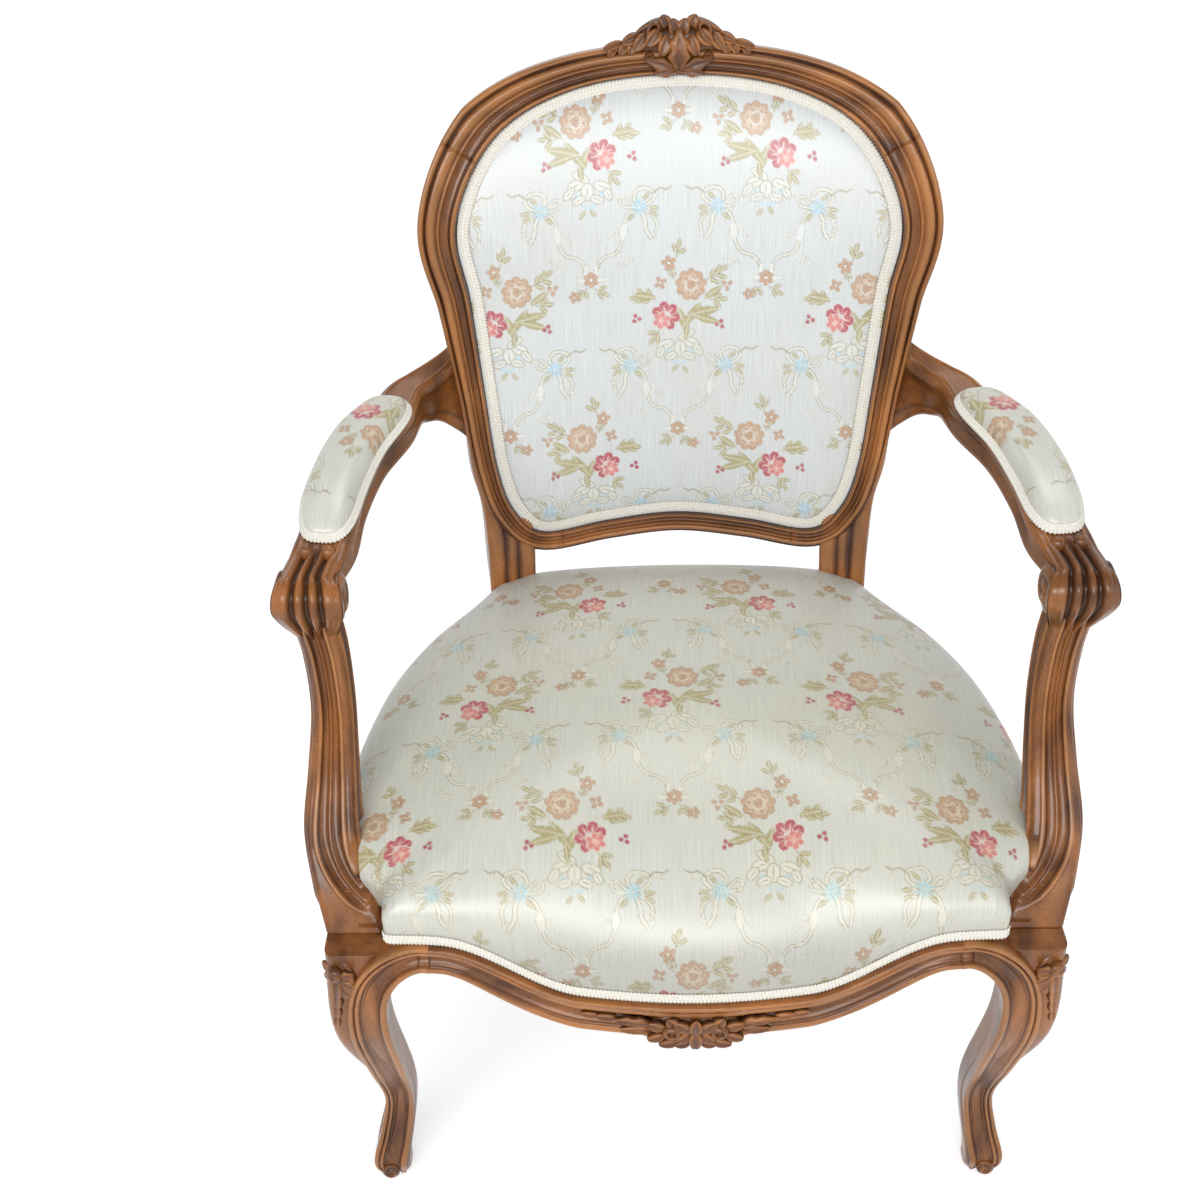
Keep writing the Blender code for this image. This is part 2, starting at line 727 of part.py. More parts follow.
def front_stations():
    """Places across the front where the rail is drawn, from its middle to the leg."""
    return np.concatenate((np.linspace(0.0, FRONT_RAIL_FLAT, 3)[:-1],
                           np.linspace(FRONT_RAIL_FLAT, FRONT_RAIL_ARCH, 6)[:-1],
                           np.linspace(FRONT_RAIL_ARCH, leg_inner(), 4)))


def front_path():
    """Face of the front rail in plan, between the middles of the legs."""
    half = np.append(front_stations(), LEG_SPREAD + BLOCK_OUT)
    across = np.concatenate((-half[:0:-1], half))
    return np.stack((across, front_face(across)), axis=1)


def front_rail_rings(grow=0.0):
    """Rings of the front rail."""
    path = front_path()
    lines, edges = front_line(path[:, 0]), front_edge(path[:, 0])
    return rail_rings(path, lines, edges, (0.0, -1.0), grow)


def rail_boss_rings():
    """Rings of the carved cluster under the middle of the front rail, from its back to its front."""
    half, drop, rise = RAIL_BOSS_HALF, RAIL_BOSS_DROP, RAIL_BOSS_RISE
    edge = FRONT_EDGE_MIDDLE
    right = (
        (0.05 * half, edge - drop),
        (0.22 * half, edge - 0.62 * drop),
        (0.60 * half, edge - 0.16 * drop),
        (half, edge + 0.30 * rise),
        (0.60 * half, edge + 0.72 * rise),
        (0.05 * half, edge + rise),
    )
    outline = np.array(right + tuple((-x, z) for x, z in right[::-1]))
    middle = np.array((0.0, edge + 0.15 * rise))
    layers = ((-0.6 * RAIL_THICKNESS, 0.92), (0.1 * RAIL_BOSS_PROUD, 1.0), (RAIL_BOSS_PROUD, 0.76))
    rings = []
    for proud, share in layers:
        ring = middle + share * (outline - middle)
        rings.append(np.column_stack((ring[:, 0], front_face(ring[:, 0]) - proud, ring[:, 1])))
    return rings


def side_rail_heights(path):
    """Upholstery line and lower edge along a side rail."""
    share = np.linspace(0.0, 1.0, len(path))
    bracket = SIDE_BRACKET * (1.0 - ease(share / 0.35)) + 0.4 * SIDE_BRACKET * ease((share - 0.75) / 0.25)
    return np.full(len(path), SEAT_LINE), SIDE_EDGE - bracket


def side_rail_rings(side, grow=0.0):
    """Rings of a side rail."""
    path = side_path(side)
    lines, edges = side_rail_heights(path)
    return rail_rings(path, lines, edges, (side, 0.0), grow)


def rear_face():
    """Setback of the rear rail's outer face."""
    return UPRIGHT_SETBACK + 0.4 * UPRIGHT_DEPTH


def rear_rail_rings(grow=0.0):
    """Rings of the straight rear rail between the uprights."""
    across = np.linspace(-UPRIGHT_SPREAD, UPRIGHT_SPREAD, 3)
    path = np.stack((across, np.full(3, rear_face())), axis=1)
    return rail_rings(path, np.full(3, SEAT_LINE), np.full(3, REAR_EDGE), (0.0, 1.0), grow)


# Arms and posts


def arm_rows():
    """Centre, width and thickness of the right-hand arm, from the upright to the curled hand-hold."""
    join = upright_at(ARM_JOIN_HEIGHT, 1.0) + np.array((0.002, -0.006, 0.0))
    hand = np.array((KNUCKLE_SPREAD, KNUCKLE_SETBACK, KNUCKLE_HEIGHT))

    def between(share, bow, drop):
        """A point on the arm, bowed outwards of the straight line; drop is a share of the hand-hold's."""
        flat = join + share * (hand - join)
        return (flat[0] + bow * ARM_BOW, flat[1], ARM_HEIGHT - drop * KNUCKLE_DROP)

    return smooth(
        (
            (*join, ARM_JOIN_WIDTH, ARM_JOIN_DEPTH),
            (*between(0.15, 0.46, 0.18), ARM_JOIN_WIDTH + 0.1 * ARM_WIDTH, 1.36 * ARM_THICKNESS),
            (*between(0.33, 0.92, 0.0), 0.92 * ARM_WIDTH, 1.07 * ARM_THICKNESS),
            (*between(0.50, 1.0, 0.05), ARM_WIDTH, ARM_THICKNESS),
            (*between(0.69, 0.70, 0.24), ARM_WIDTH, ARM_THICKNESS),
            (*between(0.84, 0.26, 0.52), 0.96 * ARM_WIDTH, 1.04 * ARM_THICKNESS),
            (*between(0.94, 0.06, 0.76), 0.5 * (ARM_WIDTH + KNUCKLE_WIDTH), 1.2 * ARM_THICKNESS),
            (*hand, KNUCKLE_WIDTH, 1.28 * ARM_THICKNESS),
            (hand[0], hand[1] - KNUCKLE_CURL, hand[2] - KNUCKLE_CURL, 0.86 * KNUCKLE_WIDTH,
             0.75 * ARM_THICKNESS),
        ),
        BAR_STEPS - 1,
    )


def arm_rings(side, grow=0.0):
    """Rings of an arm."""
    rows = arm_rows()
    return [mirrored(ring, side) for ring in bar_rings(rows, *bar_frames(rows, UP), grow)]


def post_rows(side):
    """Centre, width and depth of an arm post from the top of the leg to inside the hand-hold."""
    foot = np.array((POST_FOOT_SPREAD, POST_FOOT_SETBACK, LEG_TOP + CLEARANCE))
    top = np.array((KNUCKLE_SPREAD, KNUCKLE_SETBACK + 0.3 * KNUCKLE_WIDTH, KNUCKLE_HEIGHT + 0.3 * ARM_THICKNESS))
    lean = top[1] - foot[1]
    shares = ((0.0, 0.0, 0.0, 1.0), (0.11, 0.55, 0.18, 1.04), (0.24, 1.0, 0.43, 1.0),
              (0.39, 0.70, 0.68, 0.45), (0.56, 0.25, 0.85, 0.0), (0.74, 0.08, 0.92, 0.0),
              (0.88, 0.20, 0.94, 0.12), (1.0, 0.0, 1.0, 0.35))
    rows = []
    for rise, belly, sweep, fullness in shares:
        across = foot[0] + rise * (top[0] - foot[0]) + belly * POST_BELLY
        setback = foot[1] + sweep * lean
        width = POST_WIDTH + fullness * (POST_FOOT_WIDTH - POST_WIDTH)
        rows.append((across, setback, foot[2] + rise * (top[2] - foot[2]), width, width))
    return mirrored(smooth(rows, BAR_STEPS - 1), side)


def corner_rings(side):
    """Two rectangles of the space over a front leg, in front of its post, where no rail strip runs."""
    rows = post_rows(side)
    level = LEG_TOP + CLEARANCE
    height = 2 * STRIP_HEIGHT
    setback = np.interp(SEAT_LINE + STRIP_HEIGHT, rows[:, 2], rows[:, 1])
    middle = np.array((side * POST_FOOT_SPREAD, setback, level + height / 2))
    width = 2 * (POST_FOOT_SPREAD - leg_inner())
    return block_rings(middle, middle + 2 * BLOCK_WIDTH * FORWARD, ACROSS, width, height)


# Upholstery surfaces


def seat_outline():
    """Plan of the seat cover on the rails' strips: x, y and the upholstery line at each point."""
    path = front_path()
    inset = np.column_stack((path - REBATE * plan_normals(path, (0.0, -1.0)), front_line(path[:, 0])))
    front = inset[len(path) // 2:-1]
    path = side_path(1.0)
    inset = path - REBATE * plan_normals(path, (1.0, 0.0))
    at_post = POST_FOOT_SETBACK + 0.5 * POST_FOOT_WIDTH
    corner = np.array(((leg_inner() + 0.5 * REBATE, LEG_SETBACK - 0.4 * BLOCK_FORWARD, FRONT_LINE_END),
                       (np.interp(at_post, inset[:, 1], inset[:, 0]), at_post, SEAT_LINE)))
    keep = inset[1:]
    side = np.column_stack((keep, np.full(len(keep), SEAT_LINE)))
    rear_half = np.array(((UPRIGHT_SPREAD - 0.40 * UPRIGHT_WIDTH, rear_face() - REBATE, SEAT_LINE),
                          (0.5 * UPRIGHT_SPREAD, rear_face() - REBATE, SEAT_LINE),
                          (0.0, rear_face() - REBATE, SEAT_LINE)))
    right = np.vstack((front, corner, side, rear_half))
    left = right[-2:0:-1] * np.array((-1.0, 1.0, 1.0))
    return np.vstack((right, left))


def lifted(grid, amount):
    """A grid of rings moved along its own outward normals."""
    around = np.roll(grid, -1, axis=1) - np.roll(grid, 1, axis=1)
    rising = np.gradient(grid, axis=0)
    normals = unit(np.cross(around, rising))
    return grid + amount * normals


def shell(name, grid, inner, outer, finish, strips=False):
    """A closed skin between two lifts of one grid; the grid runs from its open edge to its top."""
    inside = list(lifted(grid, inner)[::-1])
    return loft(name, inside + list(lifted(grid, outer)), finish, strips=strips, turned=len(inside) - 1)


def seat_grid():
    """Rings of the seat's outer form, from the upholstery line up to the crown."""
    outline = seat_outline()
    middle = np.array((0.0, (outline[:, 1].min() + outline[:, 1].max()) / 2))
    rearness = ease((outline[:, 1] - outline[:, 1].min()) / np.ptp(outline[:, 1]))
    rearness *= np.clip(1.0 - 0.55 * (outline[:, 0] / UPRIGHT_SPREAD) ** 2, 0.4, 1.0)
    fullness = SEAT_FRONT_FULLNESS + (SEAT_REAR_FULLNESS - SEAT_FRONT_FULLNESS) * rearness
    base = outline[:, 2]
    levels = [(1.0, base + CLEARANCE), (1.0, base + STRIP_HEIGHT + 0.002)]
    for share in (0.97, 0.90, 0.76, 0.52):
        swell = (1.0 - share**2) ** (1.0 / fullness)
        start = base + STRIP_HEIGHT + 0.002
        levels.append((share, start + (SEAT_CROWN - start) * swell))
    levels.append((0.2, np.full(len(base), SEAT_CROWN)))
    rings = []
    for share, height in levels:
        plan = middle + share * (outline[:, :2] - middle)
        rings.append(np.column_stack((plan, height)))
    return np.array(rings)


def hessian_ring(share, lift):
    """One ring of the hessian over the springs; it lies on the rails and rises to a flat middle."""
    outline = seat_outline()
    middle = np.array((0.0, (outline[:, 1].min() + outline[:, 1].max()) / 2))
    plan = middle + share * (outline[:, :2] - middle)
    edge = outline[:, 2] + STRIP_HEIGHT + CLEARANCE
    height = edge + (HESSIAN_HEIGHT - edge) * ease((HESSIAN_EDGE - share) / (HESSIAN_EDGE - HESSIAN_FLAT))
    return np.column_stack((plan, height + lift))


def back_grid(front):
    """Rings of the back's upholstered face, from the ledge to the crown."""
    loop, normals = back_loop()
    ledge = REBATE - CLEARANCE if front else BACK_DEPTH - REBATE + CLEARANCE
    crown = -BACK_CROWN if front else REAR_CROWN
    inset = loop - LEDGE * normals
    middle = np.array((0.0, (OPENING_TOP + OPENING_BOTTOM) / 2))
    rings = [on_back(*(loop - 0.0006 * normals).T, ledge), on_back(*inset.T, ledge)]
    for share in (0.95, 0.80, 0.55) if front else (0.55,):
        plan = middle + share * (inset - middle)
        rings.append(on_back(*plan.T, ledge + crown * (1.0 - share**2.4) ** 0.7))
    plan = middle + BACK_FLAT * (inset - middle)
    rings.append(flat_on_back(*plan.T, ledge + crown))
    return np.array(rings)


def pad_outline(inset, points=18):
    """Rounded-end plan of an arm pad: length share along the pad, and width."""
    angles = np.linspace(0.0, 2 * math.pi, points, endpoint=False)
    length = (PAD_HALF_LENGTH - inset) * np.sign(np.cos(angles)) * np.abs(np.cos(angles)) ** 0.75
    width = (PAD_HALF_WIDTH - inset) * np.sign(np.sin(angles)) * np.abs(np.sin(angles)) ** 0.6
    return np.stack((length, width), axis=1)


def on_arm(side, plan, height):
    """Points above the top of an arm; plan holds the distance along the arm and across it."""
    rows = arm_rows()
    across, through = bar_frames(rows, UP)
    steps = np.linalg.norm(np.diff(rows[:, :3], axis=0), axis=1)
    run = np.concatenate(((0.0,), np.cumsum(steps)))
    place = PAD_MIDDLE * run[-1] + plan[:, 0]

    def along_arm(values):
        """Values of the arm's rows at each place."""
        return np.stack([np.interp(place, run, column) for column in values.T], axis=1)

    top = along_arm(rows[:, :3]) + along_arm(through) * along_arm(rows[:, 4:5]) / 2
    return mirrored(top + along_arm(across) * plan[:, 1:] + along_arm(through) * height, side)


def pad_grid(side):
    """Rings of an arm pad from its base up to its crown."""
    levels = ((0.0, -0.15), (0.0004, 0.35), (0.0030, 0.72), (0.0080, 0.93), (0.0145, 1.0))
    grid = np.array([on_arm(side, pad_outline(inset), share * PAD_HEIGHT) for inset, share in levels])
    return grid if side < 0 else np.roll(grid[:, ::-1], 1, axis=1)


def rail_gimp(name, rows, finish):
    """A braid on the cover along a rail; rows hold x, y and the upholstery line."""
    along = unit(np.gradient(rows[:, :2], axis=0))
    outward = np.stack((along[:, 1], -along[:, 0], np.zeros(len(rows))), axis=1)
    stand = 2 * CLEARANCE + COVER + GIMP_THICKNESS / 2
    path = rows + stand * outward
    path[:, 2] += CLEARANCE + GIMP_WIDTH / 2
    outline = np.array(((1, 1), (-1, 1), (-1, -1), (1, -1)), float) * (GIMP_THICKNESS / 2, GIMP_WIDTH / 2)
    rings = [point + outline @ np.stack((out, UP)) for point, out in zip(path, outward)]
    return loft(name, rings, finish)


def back_gimp(name, front, finish):
    """An endless braid over the edge of the back's cover."""
    loop, normals = back_loop()
    stand = 3 * CLEARANCE + COVER + GIMP_THICKNESS / 2
    depth = REBATE - stand if front else BACK_DEPTH - REBATE + stand
    half = np.array((GIMP_WIDTH / 2, GIMP_THICKNESS / 2))
    outline = np.array(((1, 1), (-1, 1), (-1, -1), (1, -1)), float) * half
    outline += np.array((-GIMP_WIDTH / 2 - 0.0006, depth))
    rings = [loop_ring(point, normal, outline) for point, normal in zip(loop, normals)]
    return loft(name, rings, finish, endless=True)


def pad_gimp(name, side, finish):
    """An endless braid round the base of an arm pad."""
    stand = 2 * CLEARANCE + COVER
    inner = pad_outline(-stand)
    outer = pad_outline(-stand - 0.45 * GIMP_WIDTH)
    corners = ((inner, -GIMP_THICKNESS), (outer, -GIMP_THICKNESS), (outer, GIMP_THICKNESS),
               (inner, 2 * GIMP_THICKNESS))
    rows = np.array([on_arm(side, plan, height) for plan, height in corners])
    return loft(name, list(rows.transpose(1, 0, 2)), finish, endless=True)


# Sub-assemblies


def build_frame(wood):
    """The wooden frame; returns its pieces and the tools that fit other pieces to it."""
    pieces = {}
    tools = {}
    for word, side in SIDES:
        tools[f"leg_{word}"] = cutter(f"fit_leg_{word}", level_rings(leg_rows(side), CLEARANCE))
        tools[f"post_{word}"] = cutter(f"fit_post_{word}", level_rings(post_rows(side), CLEARANCE))
        tools[f"upright_{word}"] = cutter(f"fit_upright_{word}", upright_rings(side, CLEARANCE))
        tools[f"arm_{word}"] = cutter(f"fit_arm_{word}", arm_rings(side, CLEARANCE))
        tools[f"side_{word}"] = cutter(f"fit_side_{word}", side_rail_rings(side, CLEARANCE))
    tools["front"] = cutter("fit_front_rail", front_rail_rings(CLEARANCE))
    tools["rear"] = cutter("fit_rear_rail", rear_rail_rings(CLEARANCE))
    rebates = [cutter("rebate_front", rebate_rings(True), endless=True),
               cutter("rebate_rear", rebate_rings(False), endless=True),
               cutter("back_opening", opening_rings())]

    pieces["crest"] = loft("crest_rail", crest_rings(), wood)
    combine(pieces["crest"], cutter("crest_boss", boss_rings()), "UNION")
    pieces["bottom"] = loft("back_bottom_rail", bottom_rail_rings(), wood)
    pieces["front"] = loft("front_seat_rail", front_rail_rings(), wood)
    combine(pieces["front"], cutter("rail_boss", rail_boss_rings()), "UNION")
    pieces["rear"] = loft("rear_seat_rail", rear_rail_rings(), wood)
    for word, side in SIDES:
        pieces[f"leg_{word}"] = loft(f"front_leg_{word}", level_rings(leg_rows(side)), wood)
        pieces[f"upright_{word}"] = loft(f"rear_upright_{word}", upright_rings(side), wood)
        pieces[f"side_{word}"] = loft(f"side_seat_rail_{word}", side_rail_rings(side), wood)
        pieces[f"arm_{word}"] = loft(f"arm_{word}", arm_rings(side), wood)
        pieces[f"post_{word}"] = loft(f"arm_post_{word}", level_rings(post_rows(side)), wood)
        cut(pieces[f"upright_{word}"], *rebates)
        cut(pieces[f"arm_{word}"], tools[f"upright_{word}"])
        cut(pieces[f"post_{word}"], tools[f"arm_{word}"])
        over_leg = cutter(f"fit_corner_{word}", corner_rings(side))
        cut(pieces[f"side_{word}"], over_leg, tools[f"leg_{word}"], tools[f"post_{word}"],
            tools[f"upright_{word}"], tools["rear"])
        cut(pieces["front"], over_leg, tools[f"leg_{word}"], tools[f"post_{word}"])
        cut(pieces["rear"], tools[f"upright_{word}"])
        cut(pieces["bottom"], tools[f"upright_{word}"])
    for word, side in SIDES:
        join_frame(pieces, word, side, wood)
    return pieces, tools


def join_frame(pieces, word, side, wood):
    """Tenons and dowels of one side of the frame."""
    leg, upright = pieces[f"leg_{word}"], pieces[f"upright_{word}"]
    inner = leg_inner()
    middle = (front_edge(inner) + front_line(inner)) / 2
    start = (side * inner, front_face(inner) + 0.5 * RAIL_THICKNESS, middle)
    tenon(pieces["front"], leg, start, (side, 0.0, 0.0), FORWARD)

    path = side_path(side)
    lines, edges = side_rail_heights(path)
    back_of_leg = LEG_SETBACK - BLOCK_FORWARD + BLOCK_WIDTH / 2
    across = np.interp(back_of_leg, path[:, 1], np.abs(path[:, 0])) - 0.55 * RAIL_THICKNESS
    start = (side * across, back_of_leg, (lines[0] + edges[0]) / 2)
    tenon(pieces[f"side_{word}"], leg, start, (0.0, -1.0, 0.0), ACROSS)

    front_of_upright = UPRIGHT_SETBACK - UPRIGHT_DEPTH / 2
    across = np.interp(front_of_upright, path[:, 1], np.abs(path[:, 0])) - 0.6 * RAIL_THICKNESS
    start = (side * across, front_of_upright, (lines[-1] + edges[-1]) / 2)
    tenon(pieces[f"side_{word}"], upright, start, (0.0, 1.0, 0.0), ACROSS)

    inside = UPRIGHT_SPREAD - UPRIGHT_WIDTH / 2
    start = (side * inside, rear_face() - RAIL_THICKNESS / 2, (SEAT_LINE + REAR_EDGE) / 2)
    tenon(pieces["rear"], upright, start, (side, 0.0, 0.0), FORWARD)

    loop, normals = back_loop()
    joint = joint_index(loop)
    share = (face_width(CREST_JOINT) - LEDGE) / 2
    flip = np.array((side, 1.0, 1.0))
    start = on_back(*(loop[joint] + share * normals[joint]), BACK_DEPTH / 2) * flip
    onward = on_back(*(loop[joint + 1] + share * normals[joint + 1]), BACK_DEPTH / 2) * flip
    lean = (0.0, math.cos(BACK_LEAN), -math.sin(BACK_LEAN))
    tenon(pieces["crest"], upright, start, onward - start, lean)

    low = CORNER_HEIGHT - BOTTOM_FACE / 2
    start = on_back(inside + 0.002, low, BACK_DEPTH / 2) * flip
    tenon(pieces["bottom"], upright, start, (side, 0.0, 0.0), lean)

    rows = arm_rows()
    reach = upright_at(ARM_JOIN_HEIGHT, side)
    onward = unit(rows[2, :3] - rows[0, :3]) * flip
    dowel(f"arm_dowel_{word}", reach + 0.023 * onward, onward, (pieces[f"arm_{word}"], upright), wood)
    rows = post_rows(side)
    top = np.array((rows[-1, 0], rows[-1, 1], KNUCKLE_HEIGHT - 0.006))
    dowel(f"hand_dowel_{word}", top, UP, (pieces[f"arm_{word}"], pieces[f"post_{word}"]), wood)
    foot = np.array((rows[0, 0], rows[0, 1] - DOWEL_RADIUS, LEG_TOP))
    above = [np.interp(LEG_TOP + DOWEL_LENGTH / 2, rows[:, 2], column) for column in rows[:, :3].T]
    dowel(f"post_dowel_{word}", foot, np.array(above) - rows[0, :3], (leg, pieces[f"post_{word}"]), wood)


def build_corner_blocks(pieces, tools, wood, steel):
    """Glue blocks in the four seat corners, each with its screw."""
    corners = {"front": (LEG_SPREAD + BLOCK_OUT, LEG_SETBACK - BLOCK_FORWARD, 1.0),
               "rear": (UPRIGHT_SPREAD + 0.005, UPRIGHT_SETBACK, -1.0)}
    for end, (across, setback, inward) in corners.items():
        for word, side in SIDES:
            corner = np.array((side * across, setback))
            plan = np.array((corner, corner - (side * CORNER_BLOCK, 0.0), corner + (0.0, inward * CORNER_BLOCK)))
            rings = [np.column_stack((plan, np.full(3, height)))
                     for height in (CORNER_BLOCK_LOW, CORNER_BLOCK_HIGH)]
            block = loft(f"corner_block_{end}_{word}", rings, wood)
            seat = "leg" if end == "front" else "upright"
            fits = [tools[end], tools[f"side_{word}"], tools[f"{seat}_{word}"]]
            if end == "front":
                fits.append(tools[f"post_{word}"])
            cut(block, *fits)
            out = unit(np.array((side, -inward, 0.0)))
            level = (CORNER_BLOCK_LOW + CORNER_BLOCK_HIGH) / 2
            head = np.array((*(plan[1] + plan[2]) / 2, level)) - SCREW_HEAD_HEIGHT * out
            tip = head + (SCREW_LENGTH + SCREW_HEAD_HEIGHT) * out
            share = SCREW_HEAD_HEIGHT / (SCREW_LENGTH + SCREW_HEAD_HEIGHT)
            radii = ((0.0, SCREW_HEAD_RADIUS), (share, SCREW_HEAD_RADIUS), (share, SCREW_RADIUS),
                     (1.0, SCREW_RADIUS))
            loft(f"corner_screw_{end}_{word}", pin_rings(head - CLEARANCE * out, tip, radii, points=8), steel)
            shank = ((0.0, SCREW_RADIUS), (1.0, SCREW_RADIUS))
            hole = cutter(f"hole_screw_{end}_{word}", pin_rings(head, tip, shank, CLEARANCE, points=8))
            cut(block, hole)
            cut(pieces[f"{seat}_{word}"], hole)
            cut(pieces[f"side_{word}"], hole)
            cut(pieces[end], hole)


def build_seat(tools, finishes):
    """The sprung seat: webbing, springs, hessian, stuffing, cover, braid and dust cover."""
    fits = [tools[f"{part}_{word}"] for part in ("post", "upright") for word, _ in SIDES]
    grid = seat_grid()
    cover = shell("seat_cover", grid, CLEARANCE, CLEARANCE + COVER, finishes["brocade"])
    cut(cover, *fits)

    shares = (HESSIAN_FLAT, HESSIAN_EDGE)
    under = [hessian_ring(share, HESSIAN + CLEARANCE) for share in shares]
    stuffing = loft("seat_stuffing", under + list(grid[1:]), finishes["stuffing"], turned=1)
    cut(stuffing, *fits)

    lower = [hessian_ring(share, 0.0) for share in shares]
    upper = [hessian_ring(share, HESSIAN) for share in shares[::-1]]
    hessian = loft("seat_hessian", lower + upper, finishes["hessian"], turned=1)
    cut(hessian, *fits)

    build_webbing(finishes["webbing"])
    build_springs(finishes["steel"])

    outline = seat_outline()
    middle = np.array((0.0, (outline[:, 1].min() + outline[:, 1].max()) / 2))
    plan = middle + 0.84 * (outline[:, :2] - middle)
    high = WEBBING_HEIGHT - WEBBING_THICKNESS / 2 - CLEARANCE
    rings = [np.column_stack((plan, np.full(len(plan), height))) for height in (high - DUST_COVER, high)]
    loft("seat_dust_cover", rings, finishes["lining"])

    count = len(outline) // 2 + 1
    right = outline[:count]
    across = len(front_stations())
    front = right[:across]
    front = np.vstack((front[:0:-1] * np.array((-1.0, 1.0, 1.0)), front))
    rear = right[count - 3:]
    rear = np.vstack((rear, rear[-2::-1] * np.array((-1.0, 1.0, 1.0))))
    side = right[across + 1:count - 3]
    gimps = [rail_gimp("seat_gimp_front", front, finishes["gimp"]),
             rail_gimp("seat_gimp_rear", rear, finishes["gimp"]),
             rail_gimp("seat_gimp_right", side, finishes["gimp"]),
             rail_gimp("seat_gimp_left", side[::-1] * np.array((-1.0, 1.0, 1.0)), finishes["gimp"])]
    for gimp in gimps:
        cut(gimp, *fits)


def build_webbing(finish):
    """Two layers of webbing, tacked with their ends turned up inside the rails."""
    half = WEBBING_WIDTH / 2
    thick = WEBBING_THICKNESS
    for index in (-1, 0, 1):
        across = index * WEBBING_PITCH
        edges = np.linspace(across - half, across + half, 5)
        front = front_face(edges).max() + RAIL_THICKNESS + WEBBING_SET_IN
        rear = rear_face() - RAIL_THICKNESS - WEBBING_SET_IN
        strap(f"webbing_lengthwise_{index + 2}", (across, front), (across, rear), WEBBING_HEIGHT, finish)
    path = side_path(1.0)
    for index in (-1, 0, 1):
        setback = (UPRIGHT_SETBACK + FRONT_RAIL_SETBACK) / 2 + index * WEBBING_PITCH
        edges = np.linspace(setback - half, setback + half, 5)
        inner = path - RAIL_THICKNESS * plan_normals(path, (1.0, 0.0))
        reach = np.interp(edges, inner[:, 1], inner[:, 0]).min() - WEBBING_SET_IN
        level = WEBBING_HEIGHT + thick + CLEARANCE
        strap(f"webbing_crosswise_{index + 2}", (-reach, setback), (reach, setback), level, finish)


def strap(name, start, end, level, finish):
    """One strap with both ends turned up."""
    start = np.array((*start, level))
    end = np.array((*end, level))
    along = unit(end - start)
    across = np.cross(UP, along)
    rise = WEBBING_TURN_UP * UP
    outline = np.array(((1, 1), (-1, 1), (-1, -1), (1, -1)), float)
    outline *= (WEBBING_WIDTH / 2, WEBBING_THICKNESS / 2)
    bends = ((start + rise, along), (start, UP + along), (end, UP - along), (end + rise, -along))
    rings = [place + outline @ np.stack((across, normal)) for place, normal in bends]
    return loft(name, rings, finish)


def build_springs(finish):
    """Coil springs between the webbing and the hessian."""
    low = WEBBING_HEIGHT + 1.5 * WEBBING_THICKNESS + 2 * CLEARANCE + SPRING_WIRE
    high = HESSIAN_HEIGHT - CLEARANCE - SPRING_WIRE
    turns = np.linspace(0.0, 1.0, SPRING_TURNS * 8 + 1)
    angles = 2 * math.pi * SPRING_TURNS * turns
    waist = 1.0 - 0.18 * np.sin(math.pi * turns)
    path = np.stack((SPRING_RADIUS * waist * np.cos(angles), SPRING_RADIUS * waist * np.sin(angles),
                     low + (high - low) * turns), axis=1)
    across, through = bar_frames(path, UP)
    corners = np.array(((1, 0), (0, 1), (-1, 0), (0, -1)), float) * SPRING_WIRE
    rings = [point + corners @ np.stack((side, face)) for point, side, face in zip(path, across, through)]
    middle = (UPRIGHT_SETBACK + FRONT_RAIL_SETBACK) / 2
    places = [(0.0, middle)]
    for row in (-WEBBING_PITCH, WEBBING_PITCH):
        places += [(-WEBBING_PITCH, middle + row), (WEBBING_PITCH, middle + row)]
    for number, (across, setback) in enumerate(places, start=1):
        spring = loft(f"seat_spring_{number}", rings, finish)
        spring.location = (across, setback, 0.0)


def build_back(finishes):
    """Stuffing, covers and braids of the back."""
    front = back_grid(True)
    facing = np.roll(front[:, ::-1], 1, axis=1)
    shell("back_cover", facing, CLEARANCE, CLEARANCE + COVER, finishes["brocade"])
    loop, normals = back_loop()
    inset = loop - (LEDGE + CLEARANCE) * normals
    hessian_front = BACK_DEPTH - REBATE - 0.004
    middle = np.array((0.0, (OPENING_TOP + OPENING_BOTTOM) / 2))
    core = middle + BACK_FLAT * (inset - middle)
    rings = [flat_on_back(*core.T, hessian_front), on_back(*inset.T, hessian_front),
             on_back(*inset.T, REBATE)]
    rings = [np.roll(ring[::-1], 1, axis=0) for ring in rings]
    loft("back_stuffing", rings + list(facing[2:]), finishes["stuffing"], turned=1)
    layers = (hessian_front + CLEARANCE, hessian_front + CLEARANCE + HESSIAN)
    rings = [flat_on_back(*core.T, layers[0]), on_back(*inset.T, layers[0]),
             on_back(*inset.T, layers[1]), flat_on_back(*core.T, layers[1])]
    rings = [np.roll(ring[::-1], 1, axis=0) for ring in rings]
    loft("back_hessian", rings, finishes["hessian"], turned=1)
    rear = back_grid(False)
    shell("back_cover_rear", rear, 0.0, COVER, finishes["brocade"])
    back_gimp("back_gimp", True, finishes["gimp"])
    back_gimp("back_gimp_rear", False, finishes["gimp"])


def build_arm_pads(tools, finishes):
    """Stuffing, cover and braid of both arm pads, each shaped to the arm below it."""
    for word, side in SIDES:
        grid = pad_grid(side)
        layers = (loft(f"arm_pad_stuffing_{word}", list(grid), finishes["stuffing"], strips=True),
                  shell(f"arm_pad_cover_{word}", grid, CLEARANCE, CLEARANCE + COVER, finishes["brocade"],
                        strips=True),
                  pad_gimp(f"arm_pad_gimp_{word}", side, finishes["gimp"]))
        for layer in layers:
            cut(layer, tools[f"arm_{word}"])


